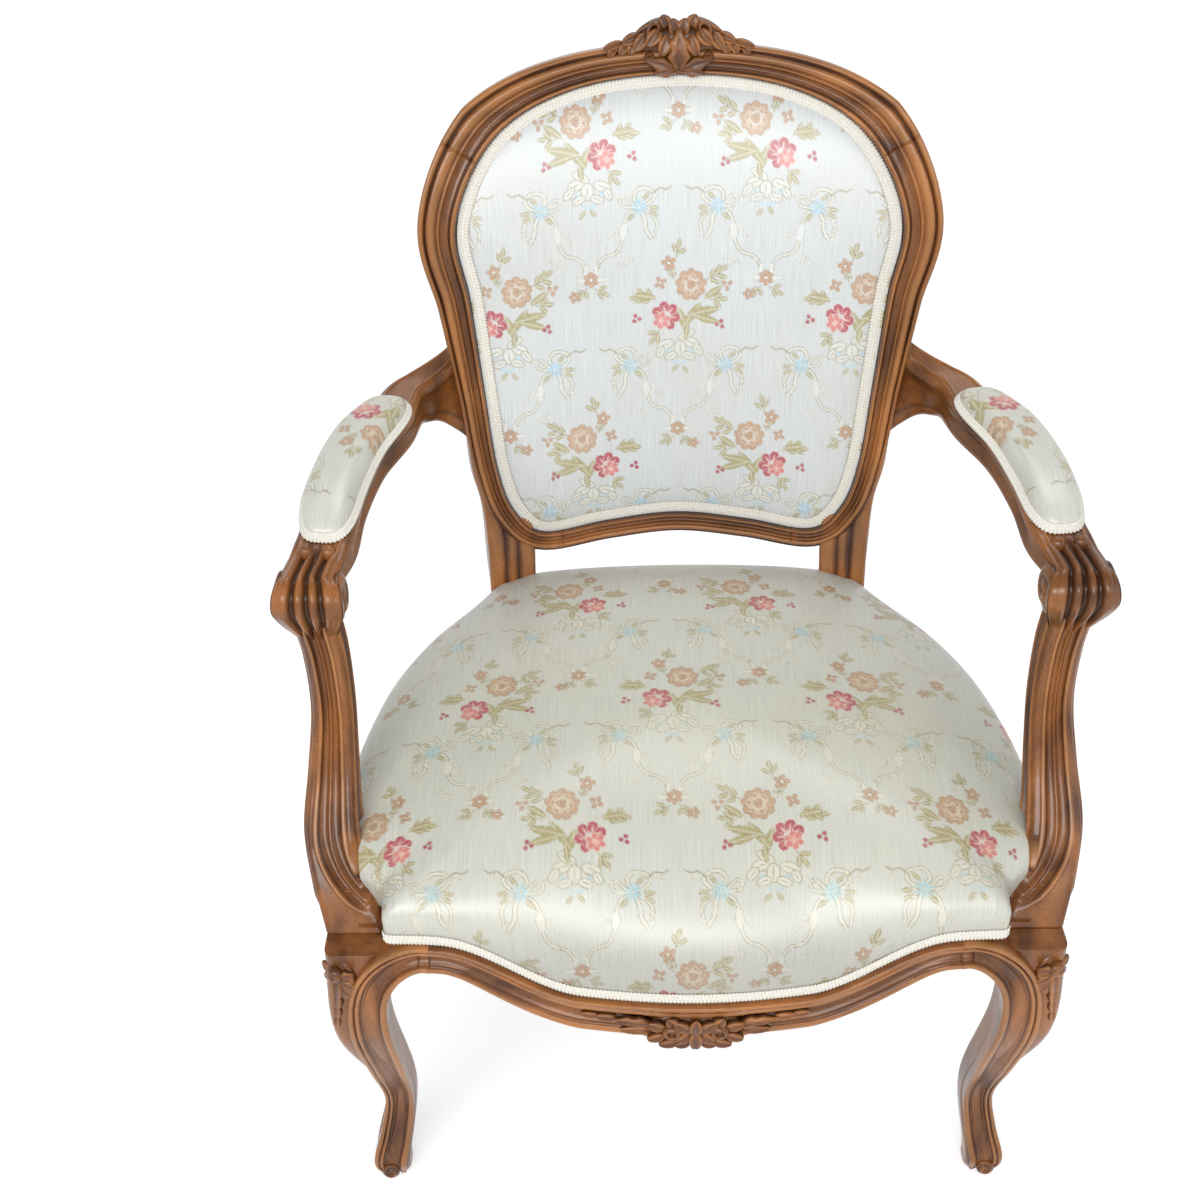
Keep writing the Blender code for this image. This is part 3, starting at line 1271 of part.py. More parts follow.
def centre_chair():
    """Hang everything on one empty that puts the middle of the chair's footprint at the origin."""
    chair = bpy.data.objects.new("chair", None)
    pieces = list(bpy.context.scene.objects)
    bpy.context.scene.collection.objects.link(chair)
    bpy.context.view_layer.update()
    graph = bpy.context.evaluated_depsgraph_get()
    lows = []
    highs = []
    for piece in pieces:
        piece.parent = chair
        if piece.hide_render:
            continue
        shape = piece.evaluated_get(graph).data
        points = np.empty(3 * len(shape.vertices))
        shape.vertices.foreach_get("co", points)
        points = points.reshape(-1, 3) + np.array(piece.location)
        lows.append(points.min(axis=0))
        highs.append(points.max(axis=0))
    low = np.min(lows, axis=0)
    high = np.max(highs, axis=0)
    chair.location = (-(low[0] + high[0]) / 2, -(low[1] + high[1]) / 2, -low[2])
    print("size", np.round(high - low, 4), "shift", np.round(np.array(chair.location), 5))


def main():
    """Build the whole chair."""
    clear_scene()
    finishes = {
        "wood": make_material("walnut", (0.26, 0.12, 0.05), 0.38),
        "brocade": make_material("brocade", (0.68, 0.66, 0.58), 0.55),
        "gimp": make_material("gimp", (0.80, 0.76, 0.68), 0.85),
        "stuffing": make_material("stuffing", (0.55, 0.48, 0.36), 0.95),
        "hessian": make_material("hessian", (0.42, 0.32, 0.19), 0.95),
        "webbing": make_material("webbing", (0.50, 0.42, 0.30), 0.9),
        "lining": make_material("lining", (0.03, 0.03, 0.03), 0.95),
        "steel": make_material("steel", (0.45, 0.45, 0.44), 0.4, 1.0),
    }
    pieces, tools = build_frame(finishes["wood"])
    build_corner_blocks(pieces, tools, finishes["wood"], finishes["steel"])
    build_seat(tools, finishes)
    build_back(finishes)
    build_arm_pads(tools, finishes)
    centre_chair()


main()
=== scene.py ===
"""Looks of the open-armed upholstered armchair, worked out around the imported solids.

Lengths are in metres. X runs from side to side, the chair faces -Y and Z is up. Shapes are worked out
with Y counted from the line of the front feet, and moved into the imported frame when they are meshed.
"""

import logging
from dataclasses import dataclass, field
from enum import Enum
from math import cos, pi, radians, sin, tan
from typing import Callable, Sequence, Union

import bpy
import numpy as np
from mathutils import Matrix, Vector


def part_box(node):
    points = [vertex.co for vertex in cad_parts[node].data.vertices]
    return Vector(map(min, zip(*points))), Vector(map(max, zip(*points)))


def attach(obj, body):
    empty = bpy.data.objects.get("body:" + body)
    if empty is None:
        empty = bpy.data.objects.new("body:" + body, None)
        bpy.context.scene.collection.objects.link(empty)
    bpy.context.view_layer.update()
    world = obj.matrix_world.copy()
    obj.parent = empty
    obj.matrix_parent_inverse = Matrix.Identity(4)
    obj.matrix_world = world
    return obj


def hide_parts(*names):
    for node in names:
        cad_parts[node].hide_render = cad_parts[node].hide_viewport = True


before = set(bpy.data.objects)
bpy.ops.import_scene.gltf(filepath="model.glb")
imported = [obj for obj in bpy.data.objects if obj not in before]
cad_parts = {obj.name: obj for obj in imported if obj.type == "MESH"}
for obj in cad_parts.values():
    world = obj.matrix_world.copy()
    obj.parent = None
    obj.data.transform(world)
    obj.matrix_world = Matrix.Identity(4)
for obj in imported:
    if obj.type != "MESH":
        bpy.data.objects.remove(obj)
log = logging.getLogger("armchair")

Array = np.ndarray
Relief = tuple[Array, Array]
Carve = Callable[[Array, Array], Relief]
Socket = bpy.types.NodeSocket
Fed = Union[Socket, float, tuple]

FROM_FEET = np.array((0.0, -0.24843, 0.0))
UP = np.array((0.0, 0.0, 1.0))
ACROSS = np.array((1.0, 0.0, 0.0))
BACKWARD = np.array((0.0, 1.0, 0.0))
CLEARANCE = 0.0003
SPAN_STEPS = 24
ARRIS = 0.0010
SATIN = (203, 203, 193)
BODY = "root"


class Side(Enum):
    """A side of the chair, as its sign along X."""

    LEFT = -1.0
    RIGHT = 1.0

    @property
    def word(self) -> str:
        """The word for this side in piece names."""
        return self.name.lower()


class Face(Enum):
    """A face of a bar's section."""

    FRONT = 0
    RIGHT = 1
    BACK = 2
    LEFT = 3


class Cut(Enum):
    """A kind of moulding on a face."""

    BEAD = "bead"
    COVE = "cove"
    GROOVE = "groove"


# Curves


def unit(vectors: Array) -> Array:
    """Vectors of the same direction and length one."""
    return vectors / np.maximum(np.linalg.norm(vectors, axis=-1, keepdims=True), 1e-12)


def ease(share: Array) -> Array:
    """A smooth step from 0 to 1: 3t^2 - 2t^3."""
    share = np.clip(share, 0.0, 1.0)
    return share * share * (3.0 - 2.0 * share)


def edged(away: Array) -> Array:
    """A step from 0 to 1 at a cut edge, where the distance from it is zero."""
    return ease((away + 0.5 * ARRIS) / ARRIS)


def bell(away: Array, width: float) -> Array:
    """A bell curve: e to the power of -(away / width)^2."""
    return np.exp(-((away / width) ** 2))


def hill(away: Array, half: float) -> Array:
    """A parabola of height one that ends in zero at its half width."""
    return np.clip(1.0 - (away / half) ** 2, 0.0, 1.0)


def circle(count: int) -> Array:
    """Evenly spaced angles once round."""
    return np.linspace(0.0, 2 * pi, count, endpoint=False)


def stepped(x: float, y: float, reach: float, turn: float) -> tuple[float, float]:
    """The point some way from another one, in a direction given in degrees."""
    away = radians(turn)
    return x + reach * cos(away), y + reach * sin(away)


def lengths(rows: Array) -> Array:
    """Distance along a curve up to each of its rows, by the first three columns."""
    steps = np.linalg.norm(np.diff(rows[:, :3], axis=0), axis=1)
    return np.concatenate(((0.0,), np.cumsum(steps)))


def picked(places: Array, run: Array, rows: Array) -> Array:
    """Rows of a table at places along it, each column read off in a straight line."""
    return np.stack([np.interp(places, run, column) for column in rows.T], axis=-1)


def through(rows: Sequence, count: int, closed: bool = False) -> Array:
    """Evenly spaced rows of a smooth curve: a cubic through each four rows, respaced by its length.

    Args:
        rows: the rows that the curve passes through; the first three columns are its place.
        count: how many rows to give back.
        closed: whether the curve ends where it starts.

    Returns:
        The rows, as an array of count rows.
    """
    rows = np.array(rows, float)
    if closed:
        padded = np.vstack((rows[-1:], rows, rows[:2]))
    else:
        padded = np.vstack((2 * rows[0] - rows[1], rows, 2 * rows[-1] - rows[-2]))
    share = (np.arange(SPAN_STEPS) / SPAN_STEPS)[:, None]
    spans = []
    for before, start, end, after in zip(padded, padded[1:], padded[2:], padded[3:]):
        linear = (end - before) * share
        square = (2 * before - 5 * start + 4 * end - after) * share**2
        cube = (3 * start - before - 3 * end + after) * share**3
        spans.append(0.5 * (2 * start + linear + square + cube))
    dense = np.vstack(spans + [rows[:1] if closed else rows[-1:]])
    run = lengths(dense)
    return picked(np.linspace(0.0, run[-1], count, endpoint=not closed), run, dense)


def softened(rows: Array, reach: float) -> Array:
    """Rows of a closed curve, each averaged with its neighbours.

    Args:
        rows: the curve's rows.
        reach: how many rows wide the bell curve is by which they are weighed.

    Returns:
        As many rows.
    """
    wave = np.fft.fftfreq(len(rows))[:, None]
    kept = np.exp(-2.0 * (pi * wave * reach) ** 2)
    return np.real(np.fft.ifft(np.fft.fft(rows, axis=0) * kept, axis=0))


def ways_out(loop: Array, reach: int = 1) -> Array:
    """Plan directions out of a closed curve that runs round to the left, from rows to each side."""
    along = unit(np.roll(loop, -reach, axis=0)[:, :2] - np.roll(loop, reach, axis=0)[:, :2])
    return np.stack((along[:, 1], -along[:, 0]), axis=1)


def srgb(colour: Sequence[float]) -> Array:
    """A screen colour of 0 to 255 as linear light."""
    share = np.array(colour) / 255.0
    return np.where(share <= 0.04045, share / 12.92, ((share + 0.055) / 1.055) ** 2.4)


# Meshes


@dataclass
class Surface:
    """Points and faces of a piece, with the values kept at its points."""

    points: Array
    quads: Array
    tris: Array = field(default_factory=lambda: np.zeros((0, 3), int))
    shade: Array | None = None
    colour: Array | None = None
    cloth: Array | None = None

    def moved(self, points: Array) -> "Surface":
        """The same surface with its points elsewhere."""
        return Surface(points, self.quads, self.tris, self.shade, self.colour, self.cloth)

    def mirrored(self, side: Side) -> "Surface":
        """The surface of the right-hand side, for the named side."""
        return self.moved(self.points * np.array((side.value, 1.0, 1.0)))


@dataclass(frozen=True)
class Finish:
    """A material, and the name of the material slot that it belongs to."""

    material: bpy.types.Material
    slot: str


def quads_of(corners: Sequence[Array]) -> Array:
    """Quads from arrays of the numbers of their four corners."""
    return np.stack([each.ravel() for each in corners], axis=1)


def grid_quads(rows: int, columns: int) -> Array:
    """Quads between the points of a grid, numbered row by row."""
    index = np.arange(rows * columns).reshape(rows, columns)
    return quads_of((index[:-1, :-1], index[:-1, 1:], index[1:, 1:], index[1:, :-1]))


def joined(surfaces: Sequence[Surface]) -> Surface:
    """Several surfaces as one; the values that only some of them have are zero on the others."""
    starts = np.cumsum([0] + [len(each.points) for each in surfaces[:-1]])
    shades = [np.zeros(len(each.points)) if each.shade is None else each.shade for each in surfaces]
    return Surface(
        np.vstack([each.points for each in surfaces]),
        np.vstack([each.quads + start for each, start in zip(surfaces, starts)]),
        np.vstack([each.tris + start for each, start in zip(surfaces, starts)]),
        np.concatenate(shades),
    )


def tube(points: Array, endless: bool = False, shade: Array | None = None) -> Surface:
    """A closed body through rings: quads between neighbouring rings, and a fan over each end.

    Args:
        points: rings by points by three.
        endless: whether the last ring meets the first, so that there are no ends.
        shade: the painted shade at each point, rings by points.

    Returns:
        The surface.
    """
    rings, around = points.shape[:2]
    index = np.arange(rings * around).reshape(rings, around)
    lower = index if endless else index[:-1]
    upper = np.roll(index, -1, axis=0) if endless else index[1:]
    quads = quads_of((lower, np.roll(lower, -1, axis=1), np.roll(upper, -1, axis=1), upper))
    flat = points.reshape(-1, 3)
    shades = np.zeros(len(flat)) if shade is None else shade.ravel()
    if endless:
        return Surface(flat, quads, shade=shades)
    ends = np.array((points[0].mean(axis=0), points[-1].mean(axis=0)))
    first = np.full(around, len(flat))
    fans = (np.stack((np.roll(index[0], -1), index[0], first), axis=1),
            np.stack((index[-1], np.roll(index[-1], -1), first + 1), axis=1))
    return Surface(np.vstack((flat, ends)), quads, np.vstack(fans), np.append(shades, (0.0, 0.0)))


def turned_out(surface: Surface) -> tuple[Array, Array]:
    """Quads and triangles of a closed surface, turned round where its volume comes out negative."""
    quads, tris = surface.quads, surface.tris
    corners = np.vstack((quads[:, :3], quads[:, (0, 2, 3)], tris))
    first, second, third = (surface.points[corners[:, i]] for i in range(3))
    if np.sum(first * np.cross(second, third)) < 0.0:
        return quads[:, ::-1], tris[:, ::-1]
    return quads, tris


def make_piece(name: str, surface: Surface, finish: Finish, *nodes: str) -> bpy.types.Object:
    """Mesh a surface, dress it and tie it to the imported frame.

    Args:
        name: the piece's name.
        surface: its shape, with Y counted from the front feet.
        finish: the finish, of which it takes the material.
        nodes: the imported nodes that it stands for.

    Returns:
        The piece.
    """
    points = surface.points + FROM_FEET
    quads, tris = turned_out(surface)
    mesh = bpy.data.meshes.new(name)
    mesh.from_pydata(points.tolist(), [], quads.tolist() + tris.tolist())
    if surface.shade is not None:
        # The hollow attribute is painted shade: above zero in grooves, rebates and under carvings, below
        # zero where raised parts are painted lighter for wear and a painted highlight.
        mesh.attributes.new("hollow", "FLOAT", "POINT").data.foreach_set("value", surface.shade)
    if surface.colour is not None:
        colours = np.column_stack((surface.colour, np.ones(len(points)))).ravel()
        mesh.attributes.new("woven", "FLOAT_COLOR", "POINT").data.foreach_set("color", colours)
    if surface.cloth is not None:
        corners = np.concatenate((quads.ravel(), tris.ravel()))
        mesh.uv_layers.new(name="cloth").data.foreach_set("uv", surface.cloth[corners].ravel())
    mesh.polygons.foreach_set("use_smooth", np.arange(len(mesh.polygons)) < len(quads))
    mesh.validate()
    mesh.materials.append(finish.material)
    piece = bpy.data.objects.new(name, mesh)
    bpy.context.scene.collection.objects.link(piece)
    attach(piece, BODY)
    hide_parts(*nodes)
    log.info("%s: %d points, %d faces", name, len(points), len(mesh.polygons))
    return piece


# Carved bars


@dataclass
class Stations:
    """Cross-sections along a bar: middle, width direction, depth direction, width and depth of each.

    The directions and the depth may be given once for all the sections.
    """

    middle: Array
    across: Array
    deep: Array
    width: Array
    depth: Array | float

    def __post_init__(self) -> None:
        """Repeat for each section what is given once."""
        self.across = np.broadcast_to(self.across, self.middle.shape)
        self.deep = np.broadcast_to(self.deep, self.middle.shape)
        self.depth = np.broadcast_to(self.depth, self.width.shape)


@dataclass(frozen=True)
class Moulding:
    """One bead, cove or groove: its middle and half width as shares of the face, and its height."""

    cut: Cut
    at: float
    half: float
    height: float


def moulded(mouldings: Sequence[Moulding], place: Array) -> Relief:
    """Height and painted shade of a row of mouldings.

    A bead is a half round, a cove a parabola and a groove a bell curve, each over its own half width.

    Args:
        mouldings: the mouldings of the face.
        place: the place across the face, 0 to 1.

    Returns:
        The height over the plain face, and the painted shade: 1 in a groove, and below 0 on a bead for wear
        and a painted highlight.
    """
    height = np.zeros_like(place)
    shade = np.zeros_like(place)
    for each in mouldings:
        share = (place - each.at) / each.half
        full = hill(share, 1.0)
        if each.cut is Cut.BEAD:
            height += each.height * np.sqrt(full)
            shade -= 0.7 * full**2
        elif each.cut is Cut.COVE:
            height -= each.height * full
            shade += 0.35 * full
        else:
            sunk = np.exp(-2.0 * share**2)
            height -= each.height * sunk
            shade += sunk
    return height, np.clip(shade, -1.0, 1.0)


def rebated(relief: Relief, sunk: Array, depth: float) -> Relief:
    """Relief that gives way to a rebate of the given depth, dark with painted shade, where sunk is one."""
    height, shade = relief
    return height * (1.0 - sunk) - depth * sunk, shade * (1.0 - sunk) + sunk


@dataclass(frozen=True)
class Section:
    """A rounded rectangle as a row of points: the nearest corner's place, the way out, and the face."""

    across: Array
    deep: Array
    angle: Array
    face: Array

    @classmethod
    def of_counts(cls, front: int, side: int, back: int, corner: int = 5) -> "Section":
        """A section with the given numbers of points.

        Args:
            front: on the front face.
            side: on each side face.
            back: on the back face.
            corner: round each corner.

        Returns:
            The section.
        """
        counts = {Face.FRONT: front, Face.RIGHT: side, Face.BACK: back, Face.LEFT: side}
        rows = []
        for face, count in counts.items():
            turn = (face.value - 1) * pi / 2
            out = np.array((cos(turn), sin(turn)))
            onward = np.array((-out[1], out[0]))
            places = np.round(out + np.linspace(-1.0, 1.0, count)[:, None] * onward, 9)
            arc = turn + np.linspace(0.0, pi / 2, corner + 2)[1:-1]
            rows += [(*place, turn, face.value) for place in places]
            rows += [(*places[-1], angle, -1) for angle in arc]
        return cls(*np.array(rows).T)


def carved_bar(stations: Stations, section: Section, radius: float,
               carvings: dict[Face, Carve]) -> Surface:
    """A bar with rounded edges whose faces are raised and sunk by carvings.

    Each point is the corner of a smaller rectangle plus the edge radius along the way out; carvings on
    the front and back move a face and its corners in depth, those on the sides move the face sideways.

    Args:
        stations: the cross-sections.
        section: the outline's points.
        radius: the radius of the long edges.
        carvings: for a face, a function of place across it (-1 to 1) and share along the bar (0 to 1)
        that gives the height and the painted shade.

    Returns:
        The surface.
    """
    wide = stations.width[:, None] / 2
    thick = stations.depth[:, None] / 2
    edge = np.minimum(radius, 0.9 * np.minimum(wide, thick))
    sideways = (wide - edge) * section.across + edge * np.cos(section.angle)
    inwards = (thick - edge) * section.deep + edge * np.sin(section.angle)
    along = np.linspace(0.0, 1.0, len(wide))[:, None]
    shade = np.zeros_like(sideways)
    for face, carve in carvings.items():
        if face in (Face.FRONT, Face.BACK):
            sign = -1.0 if face is Face.FRONT else 1.0
            pick = section.deep == sign
            lift, hollow = carve(section.across[pick][None, :], along)
            inwards[:, pick] += sign * lift
        else:
            sign = 1.0 if face is Face.RIGHT else -1.0
            pick = section.face == face.value
            lift, hollow = carve(section.deep[pick][None, :], along)
            sideways[:, pick] += sign * lift
        shade[:, pick] = hollow
    points = (stations.middle[:, None] + sideways[..., None] * stations.across[:, None]
              + inwards[..., None] * stations.deep[:, None])
    return tube(points, shade=shade)


# Carved leaves and flowers


def leaf(length: float, width: float, rise: float, lobes: int = 0) -> Surface:
    """A carved leaf along +X, its face up.

    Along u its half width is width/2 times a sine, notched by the lobes or blunt without them; across v
    its height is a round back with a sunk midrib, or with a wide cup where it has no lobes, and the
    underside is flat.

    Args:
        length: from stem to tip.
        width: at its widest.
        rise: how far its middle stands up.
        lobes: how many lobes each edge has.

    Returns:
        The surface.
    """
    share = np.linspace(0.0, 1.0, 25)[:, None]
    around = circle(22)[None, :]
    half = 0.5 * width * np.sin(pi * share**0.8) ** (0.8 if lobes else 0.5)
    half = half * (1.0 - 0.28 * (0.5 - 0.5 * np.cos(2 * pi * lobes * share)))
    across = np.cos(around) * np.ones_like(share)
    up = np.clip(np.sin(around), 0.0, 1.0) * np.sin(pi * share**0.8) ** 0.6
    rib = bell(across, 0.16 if lobes else 0.45)
    height = rise * (up**0.7) * (1.0 - 0.45 * rib) - 0.25 * rise
    height = height + 0.35 * rise * share**3
    wear_and_highlight = bell(np.abs(across) - 0.72, 0.14)
    points = np.stack((length * share * np.ones_like(across), half * across, height), axis=-1)
    # Painted shade along the sunk midrib of a lobed leaf, in the cup of a petal and at the rim where the
    # leaf turns under; the raised edges are painted lighter, for wear and a painted highlight.
    shade = ((0.8 if lobes else 0.45) * rib - 0.6 * wear_and_highlight) * (up > 0) + 0.8 * (np.abs(across) > 0.93)
    return tube(points, shade=shade)


def rosette(radius: float, rise: float, petals: int, whorl: float) -> Surface:
    """A carved flower facing +Z.

    In polar form its edge is a circle swelled by the petals, and its height a dome with a dimple in the
    middle, cut by a groove that winds round it.

    Args:
        radius: of the flower.
        rise: of its dome.
        petals: how many petals its edge shows.
        whorl: how far the winding groove turns from the middle to the edge, in radians.

    Returns:
        The surface.
    """
    share = np.linspace(0.02, 1.0, 20)[:, None]
    angle = circle(44)[None, :]
    swell = 1.0 + 0.10 * np.cos(petals * angle) * share
    wave = 0.5 + 0.5 * np.cos(petals * angle - whorl * share * petals / 2)
    height = rise * (1.0 - share**2.6) * (0.62 + 0.38 * wave) - 0.5 * rise * bell(share, 0.16)
    points = np.stack((radius * share * swell * np.cos(angle), radius * share * swell * np.sin(angle),
                       height), axis=-1)
    skirt = points[-1:] - np.array((0.0, 0.0, 0.6 * rise))
    # Painted shade between the petals and on the skirt under the flower.
    shade = np.vstack((0.75 * (1.0 - wave) ** 2 * np.ones_like(share), np.ones((1, angle.size))))
    return tube(np.concatenate((points, skirt)), shade=shade)


def boss(half: tuple[float, float], rise: float, hollow: float = 0.0, dark: float = 0.0) -> Surface:
    """A smooth mound facing +Z: over an ellipse its height is (1 - s^2.4)^0.6, sunk round its middle.

    Args:
        half: half its length and half its width.
        rise: how far it stands up.
        hollow: how deep its middle is sunk, as a share of the rise.
        dark: how much painted shade darkens it all over.

    Returns:
        The surface.
    """
    share = np.linspace(0.02, 1.0, 16)[:, None]
    angle = circle(36)[None, :]
    dip = hollow * np.exp(-((share / 0.42) ** 4))
    height = rise * ((1.0 - share**2.4) ** 0.6 - dip) * np.ones_like(angle)
    points = np.stack((half[0] * share * np.cos(angle), half[1] * share * np.sin(angle), height), axis=-1)
    skirt = points[-1:] - np.array((0.0, 0.0, 0.8 * rise))
    # Painted shade: in its sunk middle and towards its rim when it is hollow, and all over by dark.
    shade = np.vstack((dip + dark + hollow * share**8, np.full((1, 1), dark))) * np.ones_like(angle)
    return tube(np.concatenate((points, skirt)), shade=shade)


def placed(surface: Surface, at: Array, along: Array, face: Array) -> Surface:
    """A small carving set in its place.

    Args:
        surface: the carving, made along +X and facing +Z.
        at: its place.
        along: the direction for its X.
        face: the direction that its Z leans towards.

    Returns:
        The surface.
    """
    along = unit(np.asarray(along, float))
    up = unit(np.asarray(face, float) - np.dot(face, along) * along)
    turn = np.stack((along, np.cross(up, along), up))
    return surface.moved(np.asarray(at, float) + surface.points @ turn)


# Finishes


class Nodes:
    """A material's node tree, built a node at a time."""

    def __init__(self, name: str) -> None:
        """Start an empty material with one shader."""
        self.material = bpy.data.materials.new(name)
        self.material.use_nodes = True
        self.tree = self.material.node_tree
        self.shader = self.tree.nodes["Principled BSDF"]

    def add(self, kind: str, inputs: dict | None = None, **settings: str) -> bpy.types.Node:
        """Add a node.

        Args:
            kind: the node's type.
            inputs: for an input's name or number, a value or the output that feeds it.
            settings: the node's own settings.

        Returns:
            The node.
        """
        node = self.tree.nodes.new(kind)
        for name, value in settings.items():
            setattr(node, name, value)
        self.feed(node, inputs or {})
        return node

    def feed(self, node: bpy.types.Node, inputs: dict) -> None:
        """Set or link a node's inputs."""
        for name, value in inputs.items():
            if isinstance(value, Socket):
                self.tree.links.new(value, node.inputs[name])
            else:
                node.inputs[name].default_value = value

    def mix(self, share: Fed, first: Fed, second: Fed, blend: str = "MIX") -> Socket:
        """The output of a colour mix."""
        node = self.add("ShaderNodeMix", {0: share, 6: first, 7: second}, data_type="RGBA", blend_type=blend)
        return node.outputs[2]

    def maths(self, operation: str, *values: Fed) -> Socket:
        """The output of a sum on numbers."""
        return self.add("ShaderNodeMath", dict(enumerate(values)), operation=operation).outputs[0]

    def ranged(self, value: Fed, low: float, high: float, start: float, end: float) -> Socket:
        """A value between low and high, carried to between start and end and kept there."""
        limits = {"Value": value, "From Min": low, "From Max": high, "To Min": start, "To Max": end}
        return self.add("ShaderNodeMapRange", limits).outputs[0]

    def kept(self, name: str, output: str) -> Socket:
        """A value that is kept at the mesh's points."""
        return self.add("ShaderNodeAttribute", attribute_name=name).outputs[output]

    def place(self) -> Socket:
        """The place on the chair."""
        return self.add("ShaderNodeTexCoord").outputs["Object"]

    def noise(self, vector: Fed, stretch: Sequence[float], detail: float) -> Socket:
        """Noise from 0 to 1.

        Args:
            vector: the coordinates.
            stretch: their three scales.
            detail: how many finer layers it has.

        Returns:
            The output.
        """
        spread = self.add("ShaderNodeMapping", {"Vector": vector, "Scale": stretch}).outputs[0]
        settings = {"Vector": spread, "Scale": 1.0, "Detail": detail}
        return self.add("ShaderNodeTexNoise", settings).outputs["Fac"]

    def bump(self, height: Socket, strength: float, distance: float) -> None:
        """Raise the shader's surface by a height."""
        node = self.add("ShaderNodeBump", {"Height": height, "Strength": strength, "Distance": distance})
        self.feed(self.shader, {"Normal": node.outputs[0]})


def rgba(colour: Sequence[float]) -> tuple[float, float, float, float]:
    """A screen colour of 0 to 255 as a socket takes it, with full cover."""
    return (*srgb(colour).tolist(), 1.0)


@dataclass(frozen=True)
class WoodFinish:
    """Stained, polished wood: grain and pores along one direction, painted shade in grooves, and wear and a
    painted highlight on beads.
    """

    name: str
    grain: tuple
    light: tuple = (160, 100, 50)
    dark: tuple = (90, 50, 23)
    # Colour of the pores, and of the painted shade in hollows.
    groove: tuple = (32, 15, 7)
    # Colour of worn beads, which also stands for a painted highlight on them.
    wear_and_highlight: tuple = (204, 143, 84)
    roughness: float = 0.27
    pore_scale: float = 22.0
    blotches: tuple = (11.0, 11.0, 11.0)

    def material(self) -> bpy.types.Material:
        """Build the material."""
        nodes = Nodes(self.name)
        place = nodes.place()
        grain = nodes.noise(place, self.grain, 6.0)
        pores = nodes.noise(place, tuple(self.pore_scale * each for each in self.grain), 2.0)
        blotch = nodes.noise(place, self.blotches, 3.0)
        body = nodes.mix(nodes.ranged(grain, 0.33, 0.67, 0.0, 1.0), rgba(self.dark), rgba(self.light))
        toned = nodes.mix(1.0, body, nodes.ranged(blotch, 0.3, 0.7, 0.80, 1.12), "MULTIPLY")
        flecked = nodes.mix(nodes.ranged(pores, 0.54, 0.74, 0.0, 0.55), toned, rgba(self.groove))
        hollow = nodes.kept("hollow", "Fac")
        # Raised parts are painted lighter: partly wear, partly a painted highlight.
        worn_and_lit = nodes.mix(nodes.ranged(hollow, 0.0, -1.0, 0.0, 0.5), flecked, rgba(self.wear_and_highlight))
        # Painted shade: hollow parts are painted towards the groove colour.
        colour = nodes.mix(nodes.ranged(hollow, 0.0, 1.0, 0.0, 0.9), worn_and_lit, rgba(self.groove))
        gloss = nodes.ranged(blotch, 0.0, 1.0, self.roughness - 0.06, self.roughness + 0.12)
        nodes.feed(nodes.shader, {"Base Color": colour, "Roughness": gloss, "Specular IOR Level": 0.32,
                                  "Coat Weight": 0.14, "Coat Roughness": 0.12})
        nodes.bump(pores, 0.15, 0.0006)
        return nodes.material


@dataclass(frozen=True)
class ClothFinish:
    """Woven satin with the figure painted into the mesh, fine warp streaks and a soft sheen."""

    name: str = "floral_brocade"
    roughness: float = 0.34
    ground: tuple = SATIN
    yellowed: tuple = (196, 186, 160)

    def material(self) -> bpy.types.Material:
        """Build the material."""
        nodes = Nodes(self.name)
        cloth = nodes.add("ShaderNodeUVMap", uv_map="cloth").outputs[0]
        woven = nodes.kept("woven", "Color")
        warp = nodes.noise(cloth, (1100.0, 26.0, 1.0), 2.0)
        slub = nodes.noise(cloth, (60.0, 900.0, 1.0), 1.0)
        age = nodes.noise(cloth, (7.0, 7.0, 1.0), 4.0)
        floats = nodes.noise(cloth, (380.0, 1250.0, 1.0), 1.0)
        broken = nodes.mix(nodes.ranged(floats, 0.46, 0.66, 0.0, 0.32), woven, rgba(self.ground))
        streaked = nodes.mix(1.0, broken, nodes.ranged(warp, 0.25, 0.75, 0.86, 1.07), "MULTIPLY")
        colour = nodes.mix(nodes.ranged(age, 0.35, 0.75, 0.0, 0.22), streaked, rgba(self.yellowed))
        gloss = nodes.ranged(warp, 0.0, 1.0, self.roughness - 0.12, self.roughness + 0.16)
        nodes.feed(nodes.shader, {"Base Color": colour, "Roughness": gloss, "Specular IOR Level": 0.75,
                                  "Sheen Weight": 0.10, "Sheen Roughness": 0.4})
        weave = nodes.maths("ADD", warp, nodes.maths("MULTIPLY", slub, 0.5))
        nodes.bump(weave, 0.22, 0.0005)
        return nodes.material


@dataclass(frozen=True)
class ThreadFinish:
    """A matt finish of threads, flecked between two colours, with painted shade in hollows."""

    name: str
    light: tuple
    dark: tuple
    stretch: tuple = (500.0, 500.0, 500.0)
    roughness: float = 0.9
    metallic: float = 0.0

    def material(self) -> bpy.types.Material:
        """Build the material."""
        nodes = Nodes(self.name)
        threads = nodes.noise(nodes.place(), self.stretch, 2.0)
        # Painted shade: hollow parts are painted towards the dark colour.
        sunk = nodes.maths("MULTIPLY", nodes.kept("hollow", "Fac"), 0.6)
        share = nodes.maths("ADD", nodes.maths("MULTIPLY", threads, 0.55), sunk)
        colour = nodes.mix(share, rgba(self.light), rgba(self.dark))
        nodes.feed(nodes.shader, {"Base Color": colour, "Roughness": self.roughness,
                                  "Metallic": self.metallic})
        nodes.bump(threads, 0.3, 0.0006)
        return nodes.material


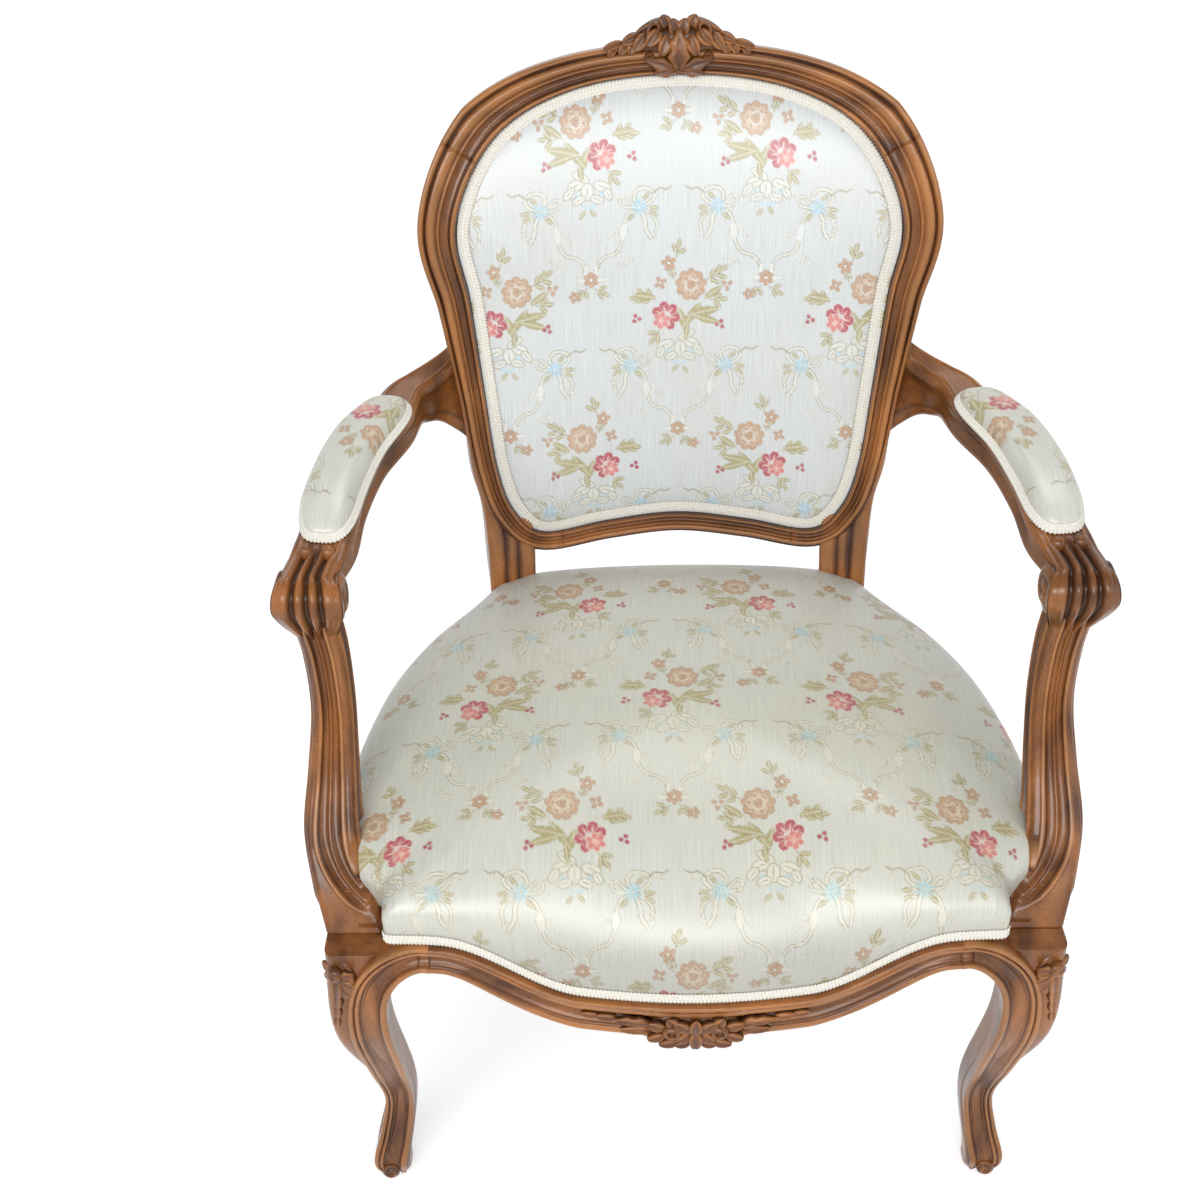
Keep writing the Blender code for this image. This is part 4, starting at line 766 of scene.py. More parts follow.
@dataclass
class Finishes:
    """The finishes of the chair."""

    wood: Finish
    wood_level: Finish
    wood_arm: Finish
    brocade: Finish
    gimp: Finish
    hessian: Finish
    webbing: Finish
    lining: Finish
    steel: Finish

    @classmethod
    def made(cls) -> "Finishes":
        """Make every finish."""
        looks = (
            (WoodFinish("polished_wood_upright", (42.0, 42.0, 6.0)), "walnut"),
            (WoodFinish("polished_wood_level", (6.0, 42.0, 42.0)), "walnut"),
            (WoodFinish("polished_wood_arm", (42.0, 9.0, 42.0)), "walnut"),
            (ClothFinish(), "brocade"),
            (ThreadFinish("cream_braid", (250, 249, 245), (214, 208, 193)), "gimp"),
            (ThreadFinish("hessian_cloth", (168, 140, 98), (112, 88, 56)), "hessian"),
            (ThreadFinish("jute_webbing", (186, 162, 122), (128, 102, 68)), "webbing"),
            (ThreadFinish("black_lining", (44, 42, 40), (22, 21, 20)), "lining"),
            (ThreadFinish("spring_steel", (150, 150, 148), (96, 96, 95), (200.0,) * 3, 0.4, 1.0), "steel"),
        )
        return cls(*(Finish(look.material(), slot) for look, slot in looks))


# Brocade


@dataclass(frozen=True)
class Stroke:
    """One soft-edged patch of the woven figure: place, half length, half width, turn and colours."""

    x: float
    y: float
    long: float
    wide: float
    turn: float
    colour: tuple
    edge: tuple
    pointed: bool = False


@dataclass
class Brocade:
    """A half-drop floral pattern: bouquets, ribbon bows and hanging sprigs on a pale satin."""

    repeat: float = 0.165
    drop: float = 0.146
    softness: float = 0.0008
    stem_bend: float = 9.0
    ground: tuple = SATIN
    crimson: tuple = (174, 38, 70)
    wine: tuple = (124, 26, 50)
    pink: tuple = (208, 112, 106)
    blush: tuple = (234, 192, 172)
    rose: tuple = (186, 147, 112)
    umber: tuple = (146, 100, 70)
    peach: tuple = (204, 176, 146)
    leaf: tuple = (166, 153, 98)
    olive: tuple = (124, 112, 64)
    blue: tuple = (160, 200, 210)
    cream: tuple = (217, 214, 199)
    tan: tuple = (152, 143, 110)
    strokes: list = field(default_factory=list)

    def __post_init__(self) -> None:
        """Draw the figure once."""
        for hand in (1.0, -1.0):
            self.swag(hand)
            self.bow(hand)
        self.cartouche()
        self.bouquet()
        self.hanging()

    def add(self, x: float, y: float, long: float, wide: float, turn: float, colour: tuple, edge: tuple,
            pointed: bool = False) -> None:
        """Add one patch; lengths in millimetres, the turn in degrees."""
        sizes = (each / 1000 for each in (x, y, long, wide))
        self.strokes.append(Stroke(*sizes, radians(turn), colour, edge, pointed))

    def foliage(self, x: float, y: float, long: float, wide: float, turn: float) -> None:
        """Add one leaf."""
        self.add(x, y, long, wide, turn, self.leaf, self.olive, True)

    def ring(self, x: float, y: float, radius: float, petals: int, size: tuple, phase: float, colour: tuple,
             edge: tuple, lean: float = 0.0) -> None:
        """Petals round a point.

        Args:
            x: the point's place across the cloth, in millimetres.
            y: its place up the cloth.
            radius: the ring's radius.
            petals: how many petals it has.
            size: half length and half width of each.
            phase: where the first one stands, in degrees.
            colour: the colour of their middles.
            edge: the colour of their rims.
            lean: how far each is turned from the way out, in degrees.
        """
        for turn in phase + np.arange(petals) * 360.0 / petals:
            self.add(*stepped(x, y, radius, turn), *size, turn + lean, colour, edge)

    def spray(self, x: float, y: float, turn: float, count: int, size: float) -> None:
        """Leaves in pairs along a bent stem, with one at its end.

        Args:
            x: where the stem starts across the cloth, in millimetres.
            y: where it starts up the cloth.
            turn: its first direction, in degrees.
            count: how many pairs.
            size: the leaves' size.
        """
        blade = (0.6 * size, 0.22 * size)
        for step in range(count):
            heading = turn + self.stem_bend * step
            at = stepped(x, y, step * 0.75 * size, heading)
            self.add(*at, 0.45 * size, 0.5, heading, self.olive, self.olive)
            for lean in (50.0, -50.0):
                self.foliage(*stepped(*at, 0.5 * size, heading + lean), *blade, heading + 0.8 * lean)
        tip = turn + self.stem_bend * count
        self.foliage(*stepped(x, y, (0.75 * count + 0.1) * size, tip), *blade, tip)

    def path(self, points: Sequence, wide: float, colour: tuple, hand: float = 1.0) -> None:
        """A band of overlapping patches along a smooth line.

        Args:
            points: places along the line, in millimetres.
            wide: half the band's width.
            colour: the band's colour.
            hand: 1 as drawn, -1 the other way round.
        """
        rows = np.array(points, float) * (hand, 1.0)
        rows = through(rows, max(6, int(lengths(rows)[-1] / 1.6)))
        turns = np.degrees(np.arctan2(np.gradient(rows[:, 1]), np.gradient(rows[:, 0])))
        for (x, y), turn in zip(rows, turns):
            self.add(x, y, 1.8, wide, turn, colour, colour)

    def ribbon(self, points: Sequence, wide: float, hand: float) -> None:
        """A cream band with thin tan outlines."""
        self.path(points, wide, self.tan, hand)
        self.path(points, wide - 0.75, self.cream, hand)

    def petals(self, hand: float, places: Sequence, long: float, wide: float) -> None:
        """Pointed cream patches with tan rims at places and turns, on one hand of the figure."""
        for x, y, turn in places:
            self.add(hand * x, y, long, wide, turn if hand > 0 else 180 - turn, self.cream, self.tan, True)

    def swag(self, hand: float) -> None:
        """A ribbon that falls from the bow, swells and runs in to the hanging sprig, with leaves."""
        fall = ((46, -58), (36, -63), (31, -73), (30, -86), (24, -97), (13, -101), (7, -107), (4, -118))
        self.ribbon(fall, 1.7, hand)
        self.petals(hand, ((31, -79, 84),), 9.0, 4.0)
        self.petals(hand, ((5, -113, 100), (9, -121, 0)), 5.5, 2.4)
        self.petals(hand, ((21, -82, 60), (17, -86, 35), (24, -79, 95), (33, -106, 250), (38, -103, 285),
                           (28, -107, 225)), 5.0, 1.3)

    def bow(self, hand: float) -> None:
        """A ribbon bow with a pale blue star for its knot, curling tails and leaves."""
        self.ribbon(((46, -57), (41, -48), (46, -41), (56, -42), (60, -48), (55, -54), (47, -57)), 1.9, hand)
        self.ribbon(((45, -57), (38, -53), (33, -48), (28, -50), (31, -56), (44, -58)), 1.6, hand)
        self.ribbon(((47, -59), (51, -68), (52, -77), (57, -85)), 2.1, hand)
        self.ribbon(((48, -58), (57, -64), (62, -71), (61, -79)), 1.7, hand)
        self.path(((59, -45), (65, -41), (71, -42), (75, -40)), 0.6, self.tan, hand)
        self.petals(hand, ((69, -45, -20), (58, -87, 300), (61, -82, 265), (25, -47, 140)), 4.2, 1.3)
        for x, y, turn in ((60, -58, -8), (59, -63, -30), (52, -48, 45), (38, -66, 215)):
            self.foliage(hand * x, y, 6.0, 1.9, turn if hand > 0 else 180 - turn)
        self.ring(hand * 46, -57, 4.6, 9, (3.8, 0.9), 10.0, self.blue, self.blue)
        self.add(hand * 46, -57, 1.5, 1.5, 0.0, self.cream, self.tan)

    def cartouche(self) -> None:
        """A cloud of cream scrolls under the bouquet with pale blue flecks and small leaves."""
        scrolls = ((-12, -38, 9, 5, 20), (12, -36, 9, 5, -20), (-17, -45, 6, 4, 60), (19, -43, 7, 4, -50),
                   (2, -42, 8, 6, 90), (-7, -49, 7, 4, 20), (10, -49, 7, 4, -20), (8, -29, 9, 4, 30))
        for x, y, long, wide, turn in scrolls:
            self.add(x, y, long, wide, turn, self.tan, self.tan)
            self.add(x, y, long - 0.8, wide - 0.8, turn, self.cream, self.cream)
            self.add(x, y, 0.6 * long, 0.4, turn, self.tan, self.tan)
        for x, y, turn in ((0, -55, 90), (5, -55, 40), (-4, -55, 140), (12, -44, 20), (-11, -44, 160)):
            self.add(x, y, 2.8, 0.8, turn, self.blue, self.blue)
        for x, y, turn in ((-3, -61, 230), (7, -62, 310)):
            self.foliage(x, y, 5.5, 1.8, turn)

    def blossom(self, x: float, y: float, radius: float, petals: int, phase: float) -> None:
        """A small brown flower with a cream eye."""
        self.ring(x, y, 0.60 * radius, petals, (0.46 * radius, 0.34 * radius), phase, self.rose, self.umber)
        self.add(x, y, 0.26 * radius, 0.26 * radius, 0.0, self.cream, self.umber)

    def bouquet(self) -> None:
        """A full rose and a crimson flower among small blossoms, leaf sprays and berries."""
        for spray in ((-26, 6, 160, 2, 10), (30, 24, 18, 2, 10), (-1, 47, 70, 1, 10), (-20, -27, 225, 1, 10),
                      (-5, 26, 100, 2, 6), (34, 4, -4, 1, 10)):
            self.spray(*spray)
        for blade in ((5, -16, 15, 3.8, 112), (13, -10, 16, 4.0, 52), (24, -7, 17, 4.4, 12),
                      (27, -14, 15, 3.6, -16), (-32, 8, 12, 3.6, 172), (8, -26, 9, 2.4, 80),
                      (33, 11, 12, 3.2, 34)):
            self.foliage(*blade)
        for hand in (1.0, -1.0):
            for x, y in ((37, -19), (41, -16), (42, -21)):
                self.add(hand * x, y + 6.0 * (hand < 0), 2.0, 2.0, 0.0, self.crimson, self.wine)
        for x, y, radius, petals in ((-9, 38, 6.8, 5), (-17, 20, 6.0, 4), (46, 18, 5.6, 3)):
            self.blossom(x, y, radius, petals, 30.0)
        self.ring(12, 18, 10.0, 9, (5.0, 4.4), 10.0, self.rose, self.umber)
        self.ring(12, 18, 9.6, 9, (3.6, 0.6), 30.0, self.cream, self.peach, 80.0)
        self.ring(12, 18, 6.0, 6, (4.4, 3.4), 40.0, self.peach, self.umber)
        self.ring(12, 18, 5.0, 6, (2.6, 0.6), 66.0, self.cream, self.cream, 80.0)
        self.ring(12.3, 18.4, 2.4, 3, (2.8, 2.0), 0.0, self.rose, self.umber, 40.0)
        for turn in (-62.0, -8.0, 46.0, 100.0, 152.0):
            petal = stepped(-12, -11, 9.0, turn)
            self.add(*petal, 5.4, 4.9, turn, self.crimson, self.cream)
            self.add(*petal, 2.6, 1.5, turn + 24.0, self.pink, self.wine)
            self.add(*stepped(-12, -11, 6.0, turn), 3.0, 0.7, turn, self.cream, self.blush)
        self.ring(-16, -15, 5.0, 6, (3.8, 3.0), 20.0, self.pink, self.cream)
        self.ring(-16, -15, 1.7, 4, (1.9, 1.3), 0.0, self.blush, self.pink)

    def hanging(self) -> None:
        """A blossom where the ribbons meet, with sprigs to each side below it."""
        self.spray(-7.0, -131.0, 200.0, 1, 9.0)
        self.spray(6.0, -131.0, 300.0, 1, 8.0)
        self.blossom(0.0, -121.0, 7.0, 6, 90.0)
        self.blossom(16.0, -136.0, 5.4, 5, 0.0)

    def painted(self, cloth: Array) -> Array:
        """Colour of the cloth at each of its points.

        Every other row of bouquets stands half a repeat aside and is drawn the other way round. A patch
        covers the points inside its ellipse or pointed lens, more softly towards its rim.

        Args:
            cloth: distance across and up the cloth, points by two.

        Returns:
            The linear colours, points by three.
        """
        colour = np.tile(srgb(self.ground), (len(cloth), 1))
        nearest = np.round(cloth[:, 1] / self.drop)
        for step in (1, -1, 0):
            row = nearest + step
            odd = np.mod(row, 2.0)
            across = cloth[:, 0] - 0.5 * self.repeat * odd
            across = (across - self.repeat * np.round(across / self.repeat)) * (1.0 - 2.0 * odd)
            up = cloth[:, 1] - row * self.drop
            for stroke in self.strokes:
                away = (across - stroke.x, up - stroke.y)
                reach = 1.1 * max(stroke.long, stroke.wide) + self.softness
                near = np.flatnonzero((np.abs(away[0]) < reach) & (np.abs(away[1]) < reach))
                if near.size:
                    self.lay(colour, near, away[0][near], away[1][near], stroke)
        return colour

    def lay(self, colour: Array, near: Array, across: Array, up: Array, stroke: Stroke) -> None:
        """Lay one patch over the colours of the points near it.

        Args:
            colour: the colours of all points, which are changed.
            near: numbers of the points near the patch.
            across: how far those lie from its middle across the cloth.
            up: how far they lie from it up the cloth.
            stroke: the patch.
        """
        cosine, sine = cos(stroke.turn), sin(stroke.turn)
        long = (across * cosine + up * sine) / stroke.long
        wide = (up * cosine - across * sine) / stroke.wide
        if stroke.pointed:
            depth = 1.0 - np.abs(wide) / np.maximum(1.0 - long**2, 1e-3)
            depth[np.abs(long) > 1.0] = -1.0
        else:
            depth = 1.0 - np.hypot(long, wide)
        cover = ease(depth * stroke.wide / self.softness + 0.5)[:, None]
        rim = ease(1.0 - depth * stroke.wide / (0.9 * self.softness))[:, None]
        paint = srgb(stroke.colour) + (srgb(stroke.edge) - srgb(stroke.colour)) * rim
        if stroke.pointed:
            vein = 0.7 * np.exp(-((wide * stroke.wide / (0.7 * self.softness)) ** 2))[:, None]
            paint = paint + (srgb(self.cream) - paint) * vein
        colour[near] += cover * (paint - colour[near])


# Upholstered forms


def disc_grid(count: int) -> tuple[Array, Array]:
    """A square grid laid on a disc, square rings becoming circles.

    Args:
        count: points along an edge of the square, an odd number.

    Returns:
        Share of the radius and angle at each point, count by count.
    """
    line = np.linspace(-1.0, 1.0, count)
    across, up = np.meshgrid(line, line)
    wide = np.abs(across) > np.abs(up)
    ratio = np.where(wide, up, across) / np.where(wide, across, np.where(up == 0.0, 1.0, up))
    turn = np.where(wide, pi / 4 * ratio, pi / 2 - pi / 4 * ratio)
    behind = np.where(wide, across < 0.0, up < 0.0)
    return np.maximum(np.abs(across), np.abs(up)), np.mod(turn + pi * behind, 2 * pi)


def even_rays(table: Array, count: int) -> Array:
    """Each ray of a table respaced evenly by its length.

    Args:
        table: rays by steps by values, of which the first three are the place.
        count: how many steps to give back.

    Returns:
        A table of as many rays.
    """
    rays = []
    for ray in table:
        run = lengths(ray)
        rays.append(picked(np.linspace(0.0, run[-1], count), run, ray))
    return np.array(rays)


def read_rays(table: Array, share: Array, angle: Array) -> Array:
    """Values of a table of rays, blended between its entries.

    Args:
        table: rays by steps by values.
        share: how far out along the rays, 0 to 1.
        angle: the direction of the rays, in radians.

    Returns:
        The values at each share and angle.
    """
    rays, steps = table.shape[:2]
    turn = angle / (2 * pi) * rays
    place = share * (steps - 1)
    ray = np.floor(turn).astype(int) % rays
    step = np.minimum(np.floor(place).astype(int), steps - 2)
    side = (turn - np.floor(turn))[..., None]
    onward = (place - step)[..., None]
    following = (ray + 1) % rays
    near = table[ray, step] * (1.0 - onward) + table[ray, step + 1] * onward
    far = table[following, step] * (1.0 - onward) + table[following, step + 1] * onward
    return near * (1.0 - side) + far * side


def rim_index(count: int) -> Array:
    """Numbers of the points round the edge of a square grid, in order."""
    index = np.arange(count * count).reshape(count, count)
    return np.concatenate((index[0, :-1], index[:-1, -1], index[-1, :0:-1], index[:0:-1, 0]))


def cushion(table: Array, count: int, brocade: Brocade, floor_rings: Sequence[Array],
            heart: Array) -> Surface:
    """A covered cushion: a dense grid over its rays, closed below by rings that end in a fan.

    Args:
        table: rays from the crown to the lower edge, with place and cloth coordinates.
        count: points along an edge of the grid.
        brocade: the cloth.
        floor_rings: the closing rings, each an array of rays by three.
        heart: the point where the fan ends.

    Returns:
        The surface.
    """
    share, angle = disc_grid(count)
    values = read_rays(table, share, angle).reshape(-1, 5)
    quads = [grid_quads(count, count)]
    rim = rim_index(count)
    rim_angle = angle.ravel()[rim]
    points = [values[:, :3]]
    total = count * count
    for ring in floor_rings:
        points.append(read_rays(ring[:, None].repeat(2, axis=1), np.zeros(len(rim)), rim_angle))
        lower = total + np.arange(len(rim))
        quads.append(np.stack((np.roll(rim, -1), rim, lower, np.roll(lower, -1)), axis=1))
        rim, total = lower, total + len(rim)
    points.append(heart[None])
    tris = np.stack((np.roll(rim, -1), rim, np.full(len(rim), total)), axis=1)
    colour = brocade.painted(values[:, 3:])
    extra = total + 1 - count * count
    return Surface(np.vstack(points), np.vstack(quads), tris,
                   colour=np.vstack((colour, np.tile(srgb(brocade.ground), (extra, 1)))),
                   cloth=np.vstack((values[:, 3:], np.zeros((extra, 2)))))


@dataclass(frozen=True)
class Braid:
    """Gimp: a flat braid with scalloped edges, two rows of loops and a cord between them."""

    width: float = 0.0115
    thickness: float = 0.0015
    pitch: float = 0.0031
    step: float = 0.00062
    face_points: int = 13

    def along(self, rows: Array, endless: bool) -> Surface:
        """The braid along a path.

        Its half width swells by a tenth at each loop; its height is a bell for the cord in the middle
        and for each row of loops, the two rows half a pitch apart.

        Args:
            rows: place, width direction and outward direction along the path, nine columns.
            endless: whether the path closes on itself.

        Returns:
            The surface.
        """
        step = self.step
        count = max(8, int(lengths(rows)[-1] / step))
        if endless:
            per_loop = int(self.pitch / step + 0.5)
            count = max(1, round(count * step / self.pitch)) * per_loop
            step = self.pitch / per_loop
        rows = through(rows, count, closed=endless)
        run = np.arange(count) * step
        place = np.concatenate((np.linspace(-1.0, 1.0, self.face_points), (0.5, -0.5)))
        wave = 2 * pi * run[:, None] / self.pitch
        loops = sum(bell(place - at, 0.27) * (0.5 + 0.5 * np.cos(wave + turn))
                    for at, turn in ((0.52, 0.0), (-0.52, pi)))
        cord = bell(place, 0.13) * (0.75 + 0.25 * np.cos(2 * wave))
        height = self.thickness * (0.30 + 0.70 * np.clip(loops + 0.8 * cord, 0.0, 1.0))
        height[:, self.face_points:] = 0.0
        swell = 1.0 + 0.12 * np.sign(place) * np.cos(wave) * (np.abs(place) > 0.7)
        sideways = 0.5 * self.width * place * swell
        across, out = unit(rows[:, 3:6]), unit(rows[:, 6:9])
        points = rows[:, None, :3] + sideways[..., None] * across[:, None] + height[..., None] * out[:, None]
        # Painted shade where the braid is low, between the loops and the cord.
        shade = np.clip(1.0 - loops - cord, 0.0, 1.0)
        return tube(points, endless, shade)


# The chair


@dataclass
class BackFrame:
    """The carved frame of the back: crest rail, two uprights that run into the rear legs, bottom rail."""

    setback: float = 0.430
    base: float = 0.473
    lean: float = radians(13.0)
    hollow: float = 0.70
    depth: float = 0.030
    rebate: float = 0.006
    ledge: float = 0.0135
    edge_radius: float = 0.0035
    cover_gap: float = 0.0006
    opening_top: float = 0.896
    opening_bottom: float = 0.482
    opening_half: float = 0.2065
    wide_height: float = 0.7801
    waist_half: float = 0.1885
    waist_height: float = 0.6199
    leaves_height: float = 0.5449
    joint_height: float = 0.8318
    shoulder_height: float = 0.8505
    corner_half: float = 0.135
    corner_height: float = 0.470
    rail_joint: float = 0.118
    upright_spread: float = 0.1705
    upright_width: float = 0.047
    upright_depth: float = 0.034
    upright_setback: float = 0.406
    knee: float = 0.359
    foot_spread: float = 0.196
    foot_setback: float = 0.525
    foot_width: float = 0.028
    face_widths: tuple = (0.0195, 0.0215, 0.0245, 0.0355, 0.039, 0.0265)
    loop_count: int = 640
    petals: tuple = (
        (0.010, 0.0185, -24, 0.034, 0.013, 0.0008),
        (0.002, 0.0055, 74, 0.0155, 0.013, 0.0034),
        (0.010, 0.0125, 62, 0.012, 0.012, 0.0030),
        (0.017, 0.0105, -46, 0.018, 0.014, 0.0072),
        (0.009, 0.0060, -66, 0.019, 0.014, 0.0062),
        (0.029, 0.0075, -50, 0.018, 0.013, 0.0050),
        (0.035, 0.0065, -22, 0.018, 0.011, 0.0020),
        (0.040, 0.0010, -66, 0.012, 0.010, 0.0026),
        (0.048, -0.0005, -62, 0.011, 0.009, 0.0022),
        (0.050, 0.0010, -14, 0.019, 0.008, 0.0010),
        (0.058, -0.0030, -55, 0.010, 0.008, 0.0018),
    )
    mouldings: tuple = (
        Moulding(Cut.BEAD, 0.07, 0.065, 0.0020),
        Moulding(Cut.GROOVE, 0.165, 0.030, 0.0026),
        Moulding(Cut.COVE, 0.30, 0.13, 0.0022),
        Moulding(Cut.BEAD, 0.45, 0.035, 0.0012),
        Moulding(Cut.BEAD, 0.645, 0.145, 0.0036),
        Moulding(Cut.GROOVE, 0.81, 0.026, 0.0028),
        Moulding(Cut.BEAD, 0.915, 0.085, 0.0022),
    )

    def __post_init__(self) -> None:
        """Work out the loop round the opening."""
        corner = self.corner_half
        half = [
            (0.0, self.opening_top),
            (0.48 * self.opening_half, self.opening_top - 0.0105),
            (0.82 * self.opening_half, self.opening_top - 0.046),
            (self.opening_half, self.wide_height),
            ((self.opening_half + self.waist_half) / 2, (self.wide_height + self.waist_height) / 2 + 0.008),
            (self.waist_half, self.waist_height),
            (self.waist_half - 0.0085, self.leaves_height),
            (corner + 0.030, self.corner_height + 0.027),
            (corner, self.corner_height),
            (0.52 * corner, (self.corner_height + self.opening_bottom) / 2),
            (0.0, self.opening_bottom),
        ]
        whole = np.array(half + [(-x, z) for x, z in half[-2:0:-1]])
        self.loop = through(whole, self.loop_count, closed=True)
        self.normal = -ways_out(self.loop)
        heights = (self.corner_height, self.leaves_height, self.waist_height, self.wide_height,
                   self.shoulder_height, self.opening_top)
        self.face = np.interp(self.loop[:, 1], heights, self.face_widths)

    def on_back(self, plan: Array, deep: float | Array) -> Array:
        """Places on the leaning, hollow sheet of the back.

        Args:
            plan: x and z of each place.
            deep: how far behind the sheet's face it lies.

        Returns:
            The places.
        """
        deep = np.broadcast_to(deep, plan.shape[:-1])
        x, z = plan[..., 0], plan[..., 1]
        y = self.setback + tan(self.lean) * (z - self.base) - x**2 / (2 * self.hollow)
        return np.stack((x, y + deep * cos(self.lean), z - deep * sin(self.lean)), axis=-1)

    @property
    def backward(self) -> Array:
        """The direction straight through the back."""
        return np.array((0.0, cos(self.lean), -sin(self.lean)))

    @property
    def heart(self) -> Array:
        """The middle of the opening, as x and z."""
        return np.array((0.0, 0.5 * (self.opening_top + self.opening_bottom)))

    @property
    def rim(self) -> Array:
        """The edge of the covers, just inside the opening."""
        return self.loop - self.cover_gap * self.normal

    def stations(self, index: Sequence[int]) -> Stations:
        """Cross-sections of the frame at loop points."""
        index = np.asarray(index) % self.loop_count
        point, normal, face = self.loop[index], self.normal[index], self.face[index]
        inner = self.on_back(point - self.ledge * normal, 0.5 * self.depth)
        outer = self.on_back(point + face[:, None] * normal, 0.5 * self.depth)
        width = face + self.ledge
        return Stations((inner + outer) / 2, unit(outer - inner), self.backward, width, self.depth)

    def framed(self, index: Sequence[int]) -> Surface:
        """A length of the frame round the opening, with its mouldings and its rebates."""
        stations = self.stations(index)
        width = stations.width[:, None]
        radius = self.edge_radius

        def offset(place: Array) -> Array:
            """Distance from the opening's edge at a place across the face."""
            return (0.5 * width - radius) * place + 0.5 * width - self.ledge

        def inside(place: Array) -> Array:
            """One within the opening's edge and zero outside it."""
            return 1.0 - edged(offset(place))

        def front(place: Array, along: Array) -> Relief:
            """Mouldings on the face, the rebate inside."""
            face = np.clip(offset(place) / (width - self.ledge), 0.0, 1.0)
            return rebated(moulded(self.mouldings, face), inside(place), self.rebate)

        def back(place: Array, along: Array) -> Relief:
            """A plain face with the rebate inside."""
            return rebated((0.0, 0.0), inside(place), self.rebate)

        section = Section.of_counts(70, 5, 10)
        return carved_bar(stations, section, radius, {Face.FRONT: front, Face.BACK: back})

    def at_height(self, height: float) -> int:
        """Number of the loop's point at a height on the right-hand side."""
        return int(np.argmax(self.loop[:, 1] < height))

    def crest(self) -> Surface:
        """The crest rail with its carved cluster."""
        reach = self.at_height(self.joint_height)
        return joined([self.framed(np.arange(-reach, reach + 1))] + self.cluster())

    def set_on(self, form: Surface, x: float, z: float, turn: float, stand: float) -> Surface:
        """A small carving on the face of the back.

        Args:
            form: the carving.
            x: its place across.
            z: its height.
            turn: how far it is turned from the X direction, in degrees.
            stand: how far it stands out of the face.

        Returns:
            The surface.
        """
        start = self.on_back(np.array((x, z)), -stand)
        ahead = self.on_back(np.array(stepped(x, z, 0.001, turn)), -stand)
        return placed(form, start, ahead - start, -self.backward)

    def cluster(self) -> list[Surface]:
        """Two hollow rosebuds among petals on a low mound, with a lobed leaf between them."""
        top = self.opening_top + self.face_widths[-1]
        # The mound under the cluster is darkened all over, a painted shade that sets off the petals.
        forms = [self.set_on(boss((0.046, 0.0125), 0.0050, dark=0.7), 0.0, top + 0.001, 0.0, 0.0005),
                 self.set_on(leaf(0.038, 0.024, 0.0085, 3), 0.0, top - 0.0245, 90.0, 0.0068)]
        for hand in (1.0, -1.0):
            lean = 90.0 - hand * 90.0
            bud = boss((0.0100, 0.0066), 0.0090, 0.75)
            forms.append(self.set_on(bud, hand * 0.0230, top + 0.0110, -hand * 52.0, 0.0030))
            curl = boss((0.0050, 0.0044), 0.0062, 0.6)
            forms.append(self.set_on(curl, hand * 0.0265, top - 0.0115, 0.0, 0.0030))
            for x, z, turn, long, wide, stand in self.petals:
                form = leaf(long, wide, 0.0070)
                forms.append(self.set_on(form, hand * x, top + z, lean + hand * turn, stand))
            for turn, long, wide in ((18, 0.032, 0.015), (-5, 0.023, 0.011)):
                form = leaf(long, wide, 0.0068, 2)
                forms.append(self.set_on(form, hand * 0.001, top - 0.0230, lean + hand * turn, 0.0050))
        return forms

    def upright(self) -> Surface:
        """The right upright: the side of the loop, and a reeded bar that leaves it for the floor."""
        start = self.at_height(self.joint_height)
        end = start + int(np.argmax(self.loop[start:, 0] < self.rail_joint))
        spread, foot = self.upright_spread, self.foot_spread
        wide, deep, thin = self.upright_width, self.upright_depth, self.foot_width
        plan = ((self.waist_half + 0.0105, self.waist_height - 0.020),
                (self.waist_half + 0.0055, self.leaves_height),
                (spread + 0.004, self.corner_height + 0.030), (spread, self.corner_height - 0.040))
        upper = self.on_back(np.array(plan), np.array((0.018, 0.018, 0.018, 0.5 * self.depth)))
        bar = [
            (*upper[0], 0.022, 0.021, 0.0),
            (*upper[1], 0.026, 0.021, 1.0),
            (*upper[2], wide, 0.021, 1.0),
            (*upper[3], wide, deep, 1.0),
            (spread, self.upright_setback, self.knee, wide - 0.003, deep + 0.002, 0.6),
            (0.7 * spread + 0.3 * foot, self.upright_setback + 0.010, 0.74 * self.knee, wide - 0.009,
             deep + 0.001, 0.0),
            (0.35 * spread + 0.65 * foot, 0.55 * self.upright_setback + 0.45 * self.foot_setback,
             0.36 * self.knee, 0.3 * wide + 0.7 * thin, 0.2 * deep + 0.8 * thin, 0.0),
            (foot, self.foot_setback, 0.0, thin, thin, 0.0),
        ]
        rows = through(bar, 180)
        lean = ease((rows[:, 2:3] - self.knee) / (self.corner_height - self.knee))
        slope = lean * rows[:, :1] / self.hollow
        facing = unit(lean * self.backward + (1.0 - lean) * BACKWARD + slope * ACROSS)
        stations = Stations(rows[:, :3], unit(ACROSS - slope * BACKWARD), facing, rows[:, 3], rows[:, 4])

        def reeds(place: Array, along: Array) -> Relief:
            """Three round reeds, which die out below the seat."""
            wave = np.where(np.abs(place) > 2 / 3, 1.0, np.abs(np.cos(1.5 * pi * place)))
            strong = np.clip(rows[:, 5:6], 0.0, 1.0)
            # Painted shade between the reeds; the ridges are painted lighter, for wear and a painted
            # highlight.
            return 0.0022 * strong * (wave**0.6 - 0.9), strong * (0.9 - 1.3 * wave)

        reeded = carved_bar(stations, Section.of_counts(52, 5, 8), 0.0045, {Face.FRONT: reeds})
        return joined([self.framed(np.arange(start, end + 1)), reeded])

    def bottom(self) -> Surface:
        """The arched rail under the opening."""
        low = (self.loop[:, 1] < self.leaves_height) & (np.abs(self.loop[:, 0]) < self.rail_joint)
        return self.framed(np.flatnonzero(low))

